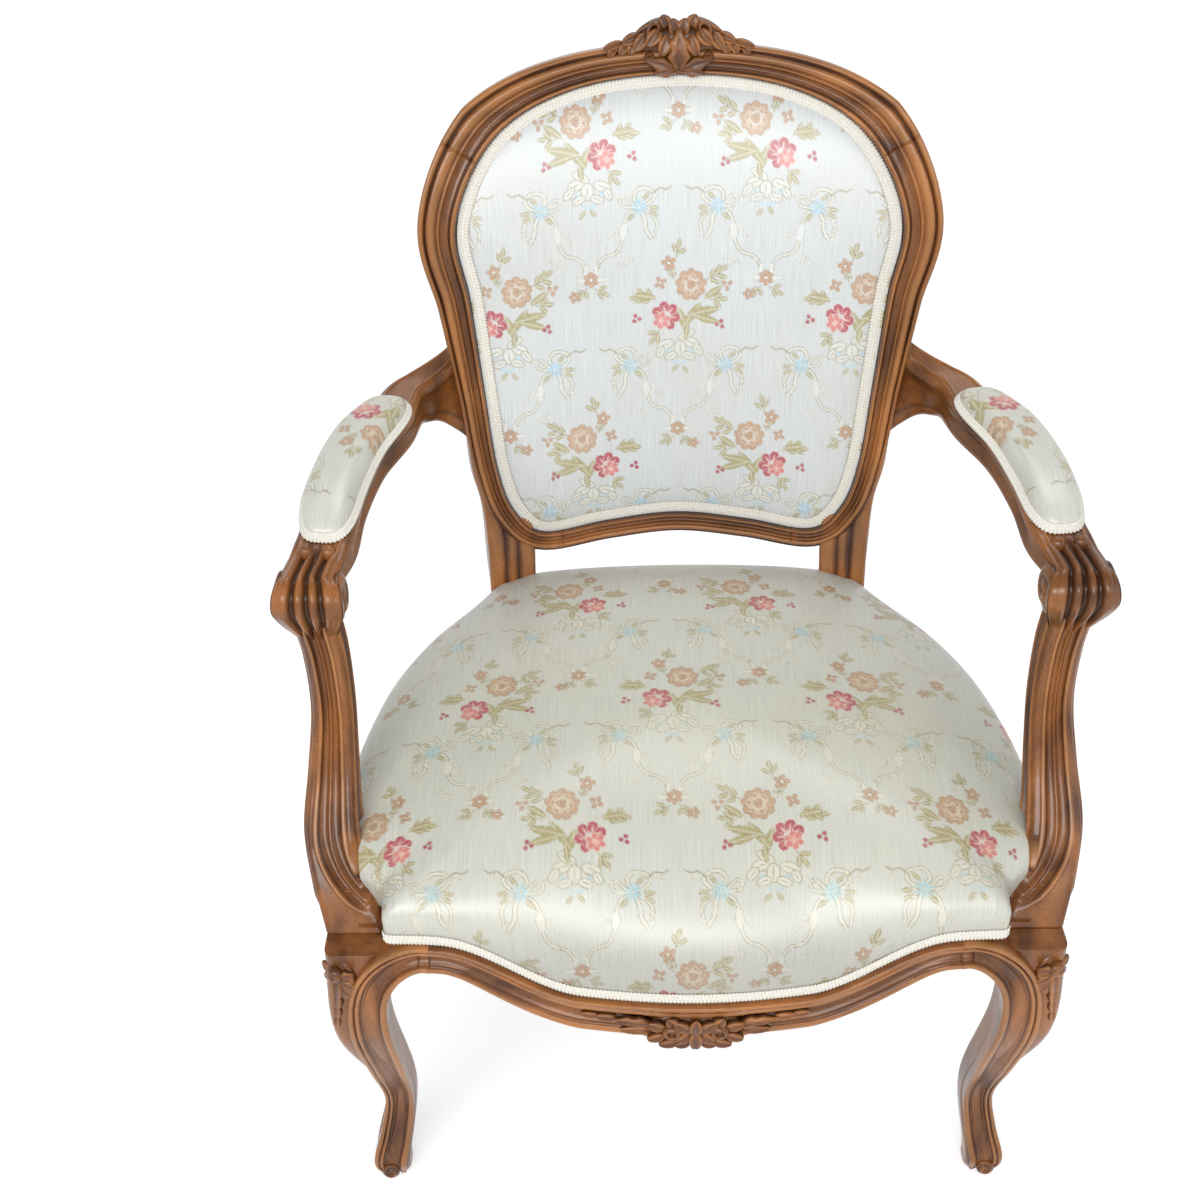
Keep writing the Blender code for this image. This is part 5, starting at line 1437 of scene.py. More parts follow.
    def build(self, finishes: Finishes) -> None:
        """Mesh the frame of the back."""
        make_piece("crest", self.crest(), finishes.wood_level, "crest_rail")
        make_piece("bottom_rail", self.bottom(), finishes.wood_level, "back_bottom_rail")
        upright = self.upright()
        for side in Side:
            make_piece(f"upright_{side.word}", upright.mirrored(side), finishes.wood,
                       f"rear_upright_{side.word}")


@dataclass
class SeatFrame:
    """The seat rails and the two front legs."""

    back: BackFrame
    line: float = 0.359
    strip: float = 0.022
    edge_radius: float = 0.0025
    thickness: float = 0.030
    rebate: float = 0.006
    leg_spread: float = 0.2665
    leg_setback: float = 0.022
    block_out: float = 0.0155
    block_forward: float = 0.0265
    block_width: float = 0.054
    front_setback: float = -0.032
    front_bulge: float = 0.027
    front_flat: float = 0.095
    front_arch: float = 0.212
    line_middle: float = 0.3215
    line_end: float = 0.3665
    edge_middle: float = 0.278
    edge_end: float = 0.3375
    lip: float = 0.008
    rail_end: float = 0.230
    side_bow: float = 0.039
    side_edge: float = 0.318
    side_bracket: float = 0.026
    toe: tuple = (0.288, -0.0115, 0.0125)
    knee: tuple = (0.3005, -0.0305, 0.3330)
    leg_rows: tuple = (
        (0.0185, 0.012, 0.0, 0.027),
        (0.0205, 0.014, 0.022, 0.034),
        (0.0065, 0.0, 0.110, 0.029),
        (0.0225, 0.030, 0.245, 0.046),
        (0.0190, 0.0265, 0.352, 0.047),
    )
    band_rows: tuple = (
        (0.2450, -0.0335, 0.3465, 0.0295, 0.024),
        (0.2605, -0.0335, 0.3325, 0.0310, 0.022),
        (0.2720, -0.0340, 0.3130, 0.0325, 0.018),
        (0.2785, -0.0345, 0.2850, 0.0335, 0.014),
        (0.2790, -0.0330, 0.2450, 0.0345, 0.012),
        (0.2745, -0.0175, 0.1800, 0.0315, 0.010),
        (0.2730, 0.0045, 0.1080, 0.0270, 0.010),
        (0.2800, -0.0005, 0.0600, 0.0290, 0.010),
        (0.2880, -0.0105, 0.0260, 0.0310, 0.010),
        (0.2865, -0.0065, 0.0040, 0.0240, 0.010),
    )
    side_shares: tuple = ((0.0, 0.0), (0.17, 0.62), (0.29, 0.94), (0.43, 1.10), (0.58, 1.10), (0.74, 0.82),
                          (0.89, 0.30), (1.0, 0.0))
    lily_rows: tuple = (
        (0.002, 0.018, -42, 0.019, 0.012),
        (0.003, 0.019, 38, 0.019, 0.013),
        (0.014, 0.005, -8, 0.017, 0.011),
        (0.017, 0.026, 58, 0.011, 0.012),
        (0.025, 0.022, 24, 0.016, 0.012),
        (0.025, 0.013, -16, 0.016, 0.011),
        (0.004, 0.005, -12, 0.014, 0.010),
    )
    trail_rows: tuple = (
        (0.034, 0.022, 8, 0.036, 0.013, 3),
        (0.036, 0.014, -2, 0.028, 0.011, 0),
        (0.066, 0.026, 6, 0.018, 0.010, 0),
        (0.081, 0.0275, 6, 0.015, 0.008, 0),
    )
    mouldings: tuple = (
        Moulding(Cut.BEAD, 0.10, 0.10, 0.0030),
        Moulding(Cut.GROOVE, 0.225, 0.024, 0.0020),
        Moulding(Cut.COVE, 0.45, 0.21, 0.0052),
        Moulding(Cut.GROOVE, 0.68, 0.024, 0.0016),
        Moulding(Cut.BEAD, 0.775, 0.062, 0.0020),
        Moulding(Cut.GROOVE, 0.845, 0.016, 0.0014),
        Moulding(Cut.BEAD, 0.92, 0.065, 0.0020),
    )

    @property
    def leg_inner(self) -> float:
        """Where the leg's block meets the front rail."""
        return self.leg_spread + self.block_out - self.block_width / 2

    def front_rows(self, x: Array) -> Array:
        """The front rail's course.

        Args:
            x: places from side to side.

        Returns:
            Plan place of the face, its outward direction, its lower edge and its upper line.
        """
        far = np.abs(x)
        swell = np.cos(pi * np.clip(far / self.leg_inner, 0, 1))
        y = self.front_setback - self.front_bulge * (0.5 + 0.5 * swell)
        share = np.clip((far - self.front_flat) / (self.front_arch - self.front_flat), 0.0, 1.0)
        line = self.line_middle + (self.line_end - self.line_middle) * ease(share)
        sweep = share**1.5 * (1.0 - share) + ease(share) * share
        edge = self.edge_middle + (self.edge_end - self.edge_middle) * sweep
        edge = edge + self.lip * ease((far - 0.024) / 0.026) * ease((0.190 - far) / 0.080)
        along = unit(np.stack((np.gradient(x), np.gradient(y)), axis=1))
        return np.column_stack((x, y, along[:, 1], -along[:, 0], edge, line))

    def side_rows(self) -> Array:
        """The right side rail's course, from the front leg to the upright, in the same columns."""
        start = np.array((self.leg_spread + self.block_out + 0.4 * self.block_width,
                          self.leg_setback - self.block_forward + 0.38 * self.block_width))
        back = self.back
        end = np.array((back.upright_spread + 0.45 * back.upright_width, back.upright_setback))
        rows = [start + share * (end - start) + bow * self.side_bow * np.array((1.0, 0.35))
                for share, bow in self.side_shares]
        path = through(np.array(rows), 130)
        along = unit(np.gradient(path, axis=0))
        share = np.linspace(0.0, 1.0, len(path))
        edge = self.side_edge - self.side_bracket * (1.0 - ease(share / 0.35))
        edge = edge - 0.4 * self.side_bracket * ease((share - 0.75) / 0.25)
        return np.column_stack((path, along[:, 1], -along[:, 0], edge, np.full(len(path), self.line)))

    def rail(self, rows: Array) -> Surface:
        """A rail along a path: mouldings follow its lower edge and its line, and a strip stands above it.

        Args:
            rows: plan place, outward direction, lower edge and line along the path.

        Returns:
            The surface.
        """
        outward = np.column_stack((rows[:, 2:4], np.zeros(len(rows))))
        edge, line = rows[:, 4], rows[:, 5]
        top = line + self.strip
        middle = np.column_stack((rows[:, :2], (edge + top) / 2)) - 0.5 * self.thickness * outward
        tall = (top - edge)[:, None]
        radius = self.edge_radius

        def front(place: Array, along: Array) -> Relief:
            """Mouldings below the line, the strip sunk above it."""
            height = (0.5 * tall - radius) * place + 0.5 * tall
            face = tall - self.strip
            above = edged(height - face)
            return rebated(moulded(self.mouldings, np.clip(height / face, 0.0, 1.0)), above, self.rebate)

        stations = Stations(middle, UP, -outward, top - edge, self.thickness)
        return carved_bar(stations, Section.of_counts(60, 5, 6), radius, {Face.FRONT: front})

    def leg(self) -> Stations:
        """Stations of the right cabriole leg, from the floor up."""
        rows = [(self.leg_spread + out, self.leg_setback - forward, height, width)
                for out, forward, height, width in self.leg_rows]
        rows = through(rows, 150)
        return Stations(rows[:, :3], ACROSS, BACKWARD, rows[:, 3], rows[:, 3])

    def band(self) -> Surface:
        """The rail's mouldings, carried round the corner and down the right leg's front to its toe."""
        x = np.array((self.rail_end - 0.010, self.rail_end, self.rail_end + 0.008))
        rail = self.front_rows(x)
        start = np.column_stack((x, rail[:, 1] - 0.0002, (rail[:, 4] + rail[:, 5]) / 2,
                                 rail[:, 5] - rail[:, 4], np.full(len(x), self.band_rows[0][4])))[:2]
        rows = through(np.vstack((start, self.band_rows)), 180)
        along = unit(np.gradient(rows[:, :3], axis=0))
        across = unit(np.stack((-along[:, 2], np.zeros(len(rows)), along[:, 0]), axis=1))
        deep = unit(np.cross(across, along))
        stations = Stations(rows[:, :3] + 0.5 * rows[:, 4:5] * deep, across, deep, rows[:, 3], rows[:, 4])
        wide = rows[:, 3:4]

        def front(place: Array, along: Array) -> Relief:
            """The rail's mouldings, a little shallower towards the toe."""
            height, shade = moulded(self.mouldings, 0.5 + 0.5 * place * (wide - 0.004) / wide)
            return height * (1.0 - 0.35 * along), shade

        return carved_bar(stations, Section.of_counts(52, 4, 4), 0.002, {Face.FRONT: front})

    def leg_surface(self, side: Side) -> Surface:
        """The leg with the band on its front, a channel on its outer face and carving on its knee."""
        stations = self.leg()

        def channel(place: Array, along: Array) -> Relief:
            """A wide hollow between rolled edges, dying out towards the toe and the knee."""
            strong = ease((along - 0.05) / 0.12) * ease((0.72 - along) / 0.10)
            hollow = hill(place, 0.72)
            ridge = bell(np.abs(place) - 0.86, 0.12)
            lift = strong * stations.width[:, None] * (0.030 * ridge - 0.050 * hollow)
            # Painted shade in the channel and along thin lines at its edges.
            return lift, strong * (0.25 * hollow + 0.8 * bell(np.abs(place) - 0.70, 0.045))

        bar = carved_bar(stations, Section.of_counts(12, 24, 8, 7), 0.009, {Face.RIGHT: channel})
        toe = placed(rosette(0.0085, 0.005, 1, 16.0), self.toe, ACROSS, (0.1, -1.0, 0.25))
        return joined([bar, self.band(), toe] + self.knee_carving()).mirrored(side)

    def knee_carving(self) -> list[Surface]:
        """A disc with leaves to each side and husks below it, on the outer corner of the right knee."""
        at = np.array(self.knee)
        face = unit(np.array((0.55, -1.0, 0.15)))
        sideways = unit(np.cross(UP, face))
        down = -UP
        forms = [placed(boss((0.015, 0.024), 0.005), at - 0.004 * face + 0.010 * down, sideways, face),
                 placed(boss((0.0075, 0.0075), 0.0055, 0.35), at + 0.001 * face, sideways, face)]
        for hand in (1.0, -1.0):
            side = hand * sideways
            for rise, drop, long in ((0.4, 0.0, 0.013), (-0.6, 0.006, 0.016), (-1.4, 0.014, 0.017)):
                forms.append(placed(leaf(long, 0.010, 0.005, 2), at + 0.004 * side + drop * down,
                                    side + rise * UP - 0.45 * face, face + 0.45 * side))
        for step, length in enumerate((0.020, 0.018, 0.016, 0.013)):
            out = np.array((0.0016 * step, -0.0004 * step, 0.0))
            start = at + (0.010 + 0.0145 * step) * down + out
            husk = leaf(length, 0.0125 - 0.0018 * step, 0.0055)
            forms.append(placed(husk, start, down + 0.10 * face, face))
        return forms

    def set_on(self, form: Surface, x: float, z: float, turn: float, stand: float) -> Surface:
        """A small carving on the front rail, by the same measures as on the back."""
        places = self.front_rows(np.array((x - 0.001, x, x + 0.001)))[:, :2]
        ahead = unit(np.append(places[2] - places[0], 0.0))
        face = np.cross(ahead, UP)
        away = radians(turn)
        start = np.array((x, places[1, 1], z)) + stand * face
        return placed(form, start, cos(away) * ahead + sin(away) * UP, face)

    def flower(self) -> list[Surface]:
        """A lily on a low mound between round buds, with leaves that run out along the rail."""
        low = self.edge_middle
        # The mound under the flower is darkened all over, a painted shade that sets off the petals.
        forms = [self.set_on(boss((0.040, 0.0185), 0.0060, dark=0.55), 0.0, low + 0.017, 0.0, -0.0010),
                 self.set_on(leaf(0.019, 0.013, 0.0070), 0.0, low + 0.018, 270.0, 0.0066),
                 self.set_on(leaf(0.018, 0.013, 0.0070), 0.0, low + 0.017, 90.0, 0.0062)]
        for hand in (1.0, -1.0):
            for x, z, turn, long, wide in self.lily_rows:
                form = leaf(long, wide, 0.0068)
                forms.append(self.set_on(form, hand * x, low + z, 90.0 - hand * (90.0 - turn), 0.0048))
            bud = boss((0.0088, 0.0088), 0.0080, 0.8)
            forms.append(self.set_on(bud, hand * 0.0195, low + 0.0185, 0.0, 0.0040))
            for x, z, turn, long, wide, lobes in self.trail_rows:
                form = leaf(long, wide, 0.0062, lobes)
                forms.append(self.set_on(form, hand * x, low + z, 90.0 - hand * (90.0 - turn), 0.0002))
        return forms

    def build(self, finishes: Finishes) -> None:
        """Mesh the rails and the legs."""
        x = np.linspace(-self.rail_end, self.rail_end, 260)
        front = joined([self.rail(self.front_rows(x))] + self.flower())
        make_piece("front_rail", front, finishes.wood_level, "front_seat_rail")
        for side in Side:
            rows = self.side_rows()
            rows[:, (0, 2)] *= side.value
            make_piece(f"side_rail_{side.word}", self.rail(rows), finishes.wood_arm,
                       f"side_seat_rail_{side.word}")
            make_piece(f"leg_{side.word}", self.leg_surface(side), finishes.wood, f"front_leg_{side.word}")


@dataclass
class Arms:
    """The two arms with their scrolled hand-holds, and the posts that carry them."""

    back: BackFrame
    join_height: float = 0.620
    thickness: float = 0.028
    hand: tuple = (0.308, 0.121, 0.615)
    hand_width: float = 0.058
    scroll_axis: tuple = (0.308, 0.1225, 0.612)
    scroll_radius: float = 0.0250
    scroll_turns: tuple = ((-8.0, 0.047, 0.020), (25.0, 0.052, 0.018), (58.0, 0.0565, 0.017),
                           (90.0, 0.058, 0.017), (122.0, 0.054, 0.016))
    scroll_tail: tuple = ((0.308, 0.1135, 0.5885, 0.045, 0.012), (0.3075, 0.1190, 0.5770, 0.036, 0.010),
                          (0.307, 0.1240, 0.5660, 0.026, 0.007))
    flutes_start: float = 0.740
    peg_length: float = 0.034
    peg_radius: float = 0.005
    groove_places: tuple = (-0.50, 0.0, 0.50)
    post_foot: tuple = (0.2895, 0.016, 0.3523)
    post_width: float = 0.032
    post_foot_width: float = 0.042
    post_belly: float = 0.012
    post_flare: float = 0.008
    post_shares: tuple = ((0.0, 0.0, 0.0, 1.0), (0.11, 0.55, 0.18, 1.04), (0.24, 1.0, 0.43, 1.0),
                          (0.39, 0.70, 0.68, 0.45), (0.56, 0.25, 0.85, 0.0), (0.74, 0.08, 0.92, 0.0),
                          (0.88, 0.20, 0.94, 0.12), (1.0, 0.0, 1.0, 0.35))
    spring_rows: tuple = ((0.004, 0.004, 0.620, 0.024, 0.116), (0.023, -0.001, 0.6205, 0.026, 0.082),
                          (0.039, -0.011, 0.623, 0.029, 0.058), (0.053, -0.029, 0.627, 0.033, 0.044))
    arm_rows: tuple = ((0.2600, 0.396, 0.632, 0.037, 0.036), (0.2690, 0.343, 0.637, 0.045, 0.030),
                       (0.2890, 0.286, 0.636, 0.049, 0.028), (0.2987, 0.224, 0.632, 0.049, 0.028),
                       (0.3005, 0.174, 0.626, 0.047, 0.029))

    def arm_path(self) -> Array:
        """Place, width and thickness along the right arm, from the upright to where its scroll starts."""
        spring = np.array(self.spring_rows)
        spring[:, :2] += self.back.stations([self.back.at_height(self.join_height)]).middle[0, :2]
        return np.vstack((spring, self.arm_rows))

    def arm(self) -> Stations:
        """Stations of the right arm, which springs from the upright and rolls over into the post."""
        axis = self.scroll_axis
        turn, widths, thickness = np.array(self.scroll_turns).T
        away = self.scroll_radius - 0.5 * thickness
        scroll = np.column_stack((np.full(len(turn), axis[0]), axis[1] - away * np.sin(np.radians(turn)),
                                  axis[2] + away * np.cos(np.radians(turn)), widths, thickness))
        path = through(np.vstack((self.arm_path(), scroll, self.scroll_tail)), 280)
        along = unit(np.gradient(path[:, :3], axis=0))
        level = unit(np.cross(along * np.array((1.0, 1.0, 0.0)), UP))
        share = ease((axis[1] + 0.05 - path[:, 1]) / 0.05)[:, None]
        rolled = np.maximum.accumulate(share, axis=0)
        across = unit(level * (1.0 - rolled) - rolled * ACROSS)
        spring = 1.0 - ease(np.linspace(0.0, 8.0, len(path)))[:, None]
        leaning = np.cross(ACROSS, self.back.backward)
        through_arm = unit(np.cross(across, along))
        deep = -unit(through_arm * (1.0 - spring) + spring * leaning)
        return Stations(path[:, :3], across, deep, path[:, 3], path[:, 4])

    def arm_surface(self, side: Side) -> Surface:
        """The arm: hollow sides between beads, reeds over the hand-hold, a spiral on each end of it."""
        stations = self.arm()
        start = self.flutes_start

        def top(place: Array, along: Array) -> Relief:
            """Four round reeds over the hand-hold, and a thin bead along each edge before it."""
            strong = ease((along - start) / 0.05)
            grooves = sum(bell(place - at, 0.13) for at in self.groove_places)
            edges = bell(np.abs(place) - 0.88, 0.06) * (1.0 - strong)
            height = 0.0014 * edges - strong * (0.0052 * grooves + 0.0030 * place**6)
            # Painted shade in the grooves; the ridges and the edge beads are painted lighter, for wear and a
            # painted highlight.
            return height, strong * (1.15 * grooves - 0.10) - 0.6 * edges

        def flank(place: Array, along: Array) -> Relief:
            """A hollow between two beads, which dies out at the hand-hold."""
            strong = ease((start - along) / 0.06)
            hollow = hill(place, 0.62)
            grooves = bell(np.abs(place) - 0.66, 0.06)
            # Painted shade in the hollow and along the grooves beside it.
            return -0.0034 * strong * hollow, strong * (0.3 * hollow + 0.9 * grooves)

        forms = [carved_bar(stations, Section.of_counts(60, 14, 10, 5), 0.0050,
                            {Face.FRONT: top, Face.LEFT: flank, Face.RIGHT: flank})]
        place = int((start + 0.028) * len(stations.width))
        across, deep = stations.across[place], stations.deep[place]
        for at in (-0.20, 0.20):
            spot = (stations.middle[place] + at * stations.width[place] * across
                    - (0.5 * stations.depth[place] - 0.0022) * deep)
            forms.append(placed(boss((0.0064, 0.0056), 0.0068), spot, across, -deep))
        for hand in (1.0, -1.0):
            end = np.array(self.scroll_axis) + hand * 0.42 * self.hand_width * ACROSS
            spiral = rosette(self.scroll_radius - 0.004, 0.0055, 1, 20.0 * hand)
            forms.append(placed(spiral, end, BACKWARD, hand * ACROSS))
        return joined(forms).mirrored(side)

    def peg(self) -> Surface:
        """The round peg that holds the right arm to its upright."""
        path = through(self.arm_path(), 200)
        start = path[0, :3]
        along = unit(path[int(np.argmax(lengths(path) > self.peg_length)), :3] - start)
        across = unit(np.cross(along, UP))
        middle = start + np.array(((0.0,), (self.peg_length,))) * along
        stations = Stations(middle, across, np.cross(across, along), np.full(2, 2 * self.peg_radius),
                            2 * self.peg_radius)
        return carved_bar(stations, Section.of_counts(2, 2, 2, 6), self.peg_radius, {})

    def post(self) -> Stations:
        """Stations of the right post, level rings from its foot up to the hand-hold."""
        foot = np.array(self.post_foot)
        x, y, z = self.hand
        climb = np.array((x, y + 0.3 * self.hand_width, z + 0.3 * self.thickness)) - foot
        rise, belly, sweep, full = np.array(self.post_shares).T
        width = self.post_width + full * (self.post_foot_width - self.post_width)
        rows = through(np.column_stack((foot[0] + rise * climb[0] + belly * self.post_belly,
                                        foot[1] + sweep * climb[1], foot[2] + rise * climb[2], width)), 150)
        flare = self.post_flare * ease((foot[2] + 0.045 - rows[:, 2]) / 0.045)
        middle = rows[:, :3] - 0.5 * flare[:, None] * ACROSS
        return Stations(middle, ACROSS, BACKWARD, rows[:, 3] + flare, rows[:, 3])

    def post_surface(self, side: Side) -> Surface:
        """The post: flutes between rolled edges, which sweep in towards the seat above its foot."""
        stations = self.post()
        wide = stations.width[:, None]

        def channel(place: Array, along: Array) -> Relief:
            """Two deep flutes with a ridge between them and a bead to each side."""
            strong = ease((along - 0.05) / 0.05) * ease((0.99 - along) / 0.06)
            flutes = hill(np.abs(place) - 0.33, 0.29)
            bead = np.sqrt(hill(np.abs(place) - 0.82, 0.17))
            groove = bell(np.abs(place) - 0.63, 0.05)
            lift = strong * wide * (0.060 * bead - 0.085 * flutes)
            # Painted shade in the flutes and the grooves; the beads are painted lighter, for wear and a
            # painted highlight.
            return lift, strong * (0.18 * flutes + 0.9 * groove - 0.6 * bead**2)

        def swept(place: Array, along: Array) -> Relief:
            """The same flutes, carried inwards towards the foot."""
            return channel(place + 2.0 * np.clip((0.27 - along) / 0.25, 0.0, 1.0) ** 2, along)

        bar = carved_bar(stations, Section.of_counts(70, 34, 10, 6), 0.006,
                         {Face.FRONT: swept, Face.LEFT: channel, Face.RIGHT: channel})
        return bar.mirrored(side)

    def build(self, finishes: Finishes) -> None:
        """Mesh the arms, the posts and the pegs."""
        for side in Side:
            word = side.word
            make_piece(f"arm_rest_{word}", self.arm_surface(side), finishes.wood_arm, f"arm_{word}")
            make_piece(f"post_{word}", self.post_surface(side), finishes.wood, f"arm_post_{word}")
            make_piece(f"arm_peg_{word}", self.peg().mirrored(side), finishes.wood, f"arm_dowel_{word}")


@dataclass
class SeatUpholstery:
    """The stuffed seat in its cover, and the gimp round its lower edge."""

    rails: SeatFrame
    arms: Arms
    crown: float = 0.457
    front_fullness: float = 1.75
    rear_fullness: float = 8.0
    cover: float = 0.0016
    rear_face: float = 0.4196
    fabric_start: tuple = (-0.015, 0.185)
    # Painted shade low on the front roll of the seat, as a share of its colour.
    front_shade: float = 0.30
    # Painted shade over the middle of the seat, for each colour channel.
    middle_shade: tuple = (0.14, 0.13, 0.17)
    heart: tuple = (0.0, 0.18, 0.40)
    firmness: float = 0.85
    grid: int = 511

    def outline(self) -> Array:
        """Right half of the seat's edge from the front middle to the rear middle: x, y and line."""
        rails, back = self.rails, self.rails.back
        front = rails.front_rows(np.linspace(0.0, rails.leg_inner, 90))
        front[0, 2:4] = (0.0, -1.0)
        near = np.column_stack((front[:, :2] - rails.rebate * front[:, 2:4], front[:, 5]))
        side = rails.side_rows()
        inset = side[:, :2] - rails.rebate * side[:, 2:4]
        behind_post = self.arms.post_foot[1] + 0.5 * self.arms.post_foot_width
        keep = (inset[:, 1] > behind_post) & (inset[:, 1] < self.rear_face - 2 * rails.rebate)
        far = np.column_stack((inset[keep], np.full(keep.sum(), rails.line)))
        corner = (rails.leg_inner + 0.5 * rails.rebate, rails.leg_setback - 0.4 * rails.block_forward,
                  rails.line_end)
        spread = back.upright_spread
        rear = [(x, self.rear_face - rails.rebate, rails.line)
                for x in (spread - 0.4 * back.upright_width, 0.5 * spread, 0.0)]
        return np.vstack((near, corner, far, rear))

    def rays(self) -> tuple[Array, Array, Array]:
        """Rays from the crown to the seat's edge, and the edge itself with its outward direction.

        Along each ray the height over the edge is (1 - s^2)^(1/f) of the crown's, s being the share of
        the way out; f is small for a round roll at the front and large for a firm edge at the rear.

        Returns:
            The rays with place and cloth coordinates, the edge, and the edge's outward direction.
        """
        half = self.outline()
        whole = np.vstack((half, half[-2:0:-1] * np.array((-1.0, 1.0, 1.0))))
        run = lengths(np.vstack((whole, whole[:1])))
        edge = picked(np.linspace(0.0, run[-1], 900, endpoint=False), run, np.vstack((whole, whole[:1])))
        edge = softened(edge, 1.7)
        out = ways_out(edge, 3)
        rim = edge[:, :2] + self.cover * out
        low, high = edge[:, 1].min(), edge[:, 1].max()
        heart = np.array((0.0, 0.5 * (low + high)))
        back = ease((edge[:, 1] - low) / (high - low))
        keen = np.clip(1.0 - 0.55 * (edge[:, 0] / self.rails.back.upright_spread) ** 2, 0.4, 1.0)
        full = self.front_fullness + (self.rear_fullness - self.front_fullness) * back * keen
        start = edge[:, 2:] + self.rails.strip + 0.002
        true = np.column_stack((rim, start, full))
        smooth = softened(true, 24.0)
        share = np.sin(0.5 * pi * np.linspace(0.0, 1.0, 150))[None, :, None]
        blend = smooth[:, None] + ease((share - 0.70) / 0.30) * (true - smooth)[:, None]
        plan = heart + share * (blend[..., :2] - heart)
        swell = (1.0 - share[..., 0] ** 2) ** (1.0 / blend[..., 3])
        height = blend[..., 2] + (self.crown - blend[..., 2]) * swell
        wall = edge[:, 2:] + (start - edge[:, 2:]) * np.linspace(0.93, 0.0, 14)[None, :]
        plan = np.concatenate((plan, np.repeat(rim[:, None], 14, axis=1)), axis=1)
        places = np.concatenate((plan, np.concatenate((height, wall), axis=1)[..., None]), axis=2)
        steps = np.linalg.norm(np.diff(places, axis=1), axis=2)
        flat = np.linalg.norm(np.diff(plan, axis=1), axis=2)
        spare = np.pad(np.cumsum(steps - flat, axis=1), ((0, 0), (1, 0)))
        cloth = plan + spare[..., None] * softened(out, 24.0)[:, None] - np.array(self.fabric_start)
        return even_rays(np.concatenate((places, cloth), axis=2), 240), edge, out

    def build(self, finishes: Finishes, brocade: Brocade, braid: Braid) -> None:
        """Mesh the seat and its gimp."""
        table, edge, out = self.rays()
        inner = np.column_stack((edge[:, :2] - 0.0010 * out, edge[:, 2]))
        raised = np.column_stack((edge[:, :2] - 0.0012 * out, edge[:, 2] + self.rails.strip))
        seat = cushion(table, self.grid, brocade, [inner, raised], np.array(self.heart))
        y, z = seat.points[:, 1:2], seat.points[:, 2:]
        # Painted shade: the cover is darkened low on its front roll, towards the gimp.
        low = ease((0.405 - z) / 0.055) * ease((0.10 - y) / 0.10)
        # Painted shade over the middle of the seat, a little yellower.
        middle_shaded = bell(y - 0.14, 0.12)
        seat.colour = seat.colour * (1.0 - self.front_shade * low) * (1.0 - middle_shaded * np.array(self.middle_shade))
        piece = make_piece("seat", seat, finishes.brocade, "seat_cover", "seat_stuffing")
        self.gimp(finishes, braid, edge, out)

    def gimp(self, finishes: Finishes, braid: Braid, edge: Array, out: Array) -> None:
        """Mesh the braid along each side of the seat's edge.

        Args:
            finishes: the finishes.
            braid: the braid.
            edge: the seat's edge.
            out: the edge's outward directions.
        """
        rise = edge[:, 2] + 0.5 * braid.width + CLEARANCE
        place = edge[:, :2] + (self.cover + CLEARANCE) * out
        rows = np.column_stack((place, rise, np.tile(UP, (len(out), 1)), out, np.zeros(len(out))))
        x, y = rows[:, 0], rows[:, 1]
        beside = (y > 0.042) & (y < self.rear_face - 0.020)
        half = len(rows) // 2
        parts = (
            ("front", (y < 0.01) & (np.abs(x) < self.rails.leg_inner + 0.002), half),
            ("right", beside & (x > 0.0), half),
            ("left", beside & (x < 0.0), half),
            ("rear", (y > self.rear_face - 0.012) & (np.abs(x) < 0.146), 0),
        )
        for word, keep, turn in parts:
            run = np.roll(rows, turn, axis=0)[np.roll(keep, turn)]
            make_piece(f"gimp_seat_{word}", braid.along(run, False), finishes.gimp, f"seat_gimp_{word}")


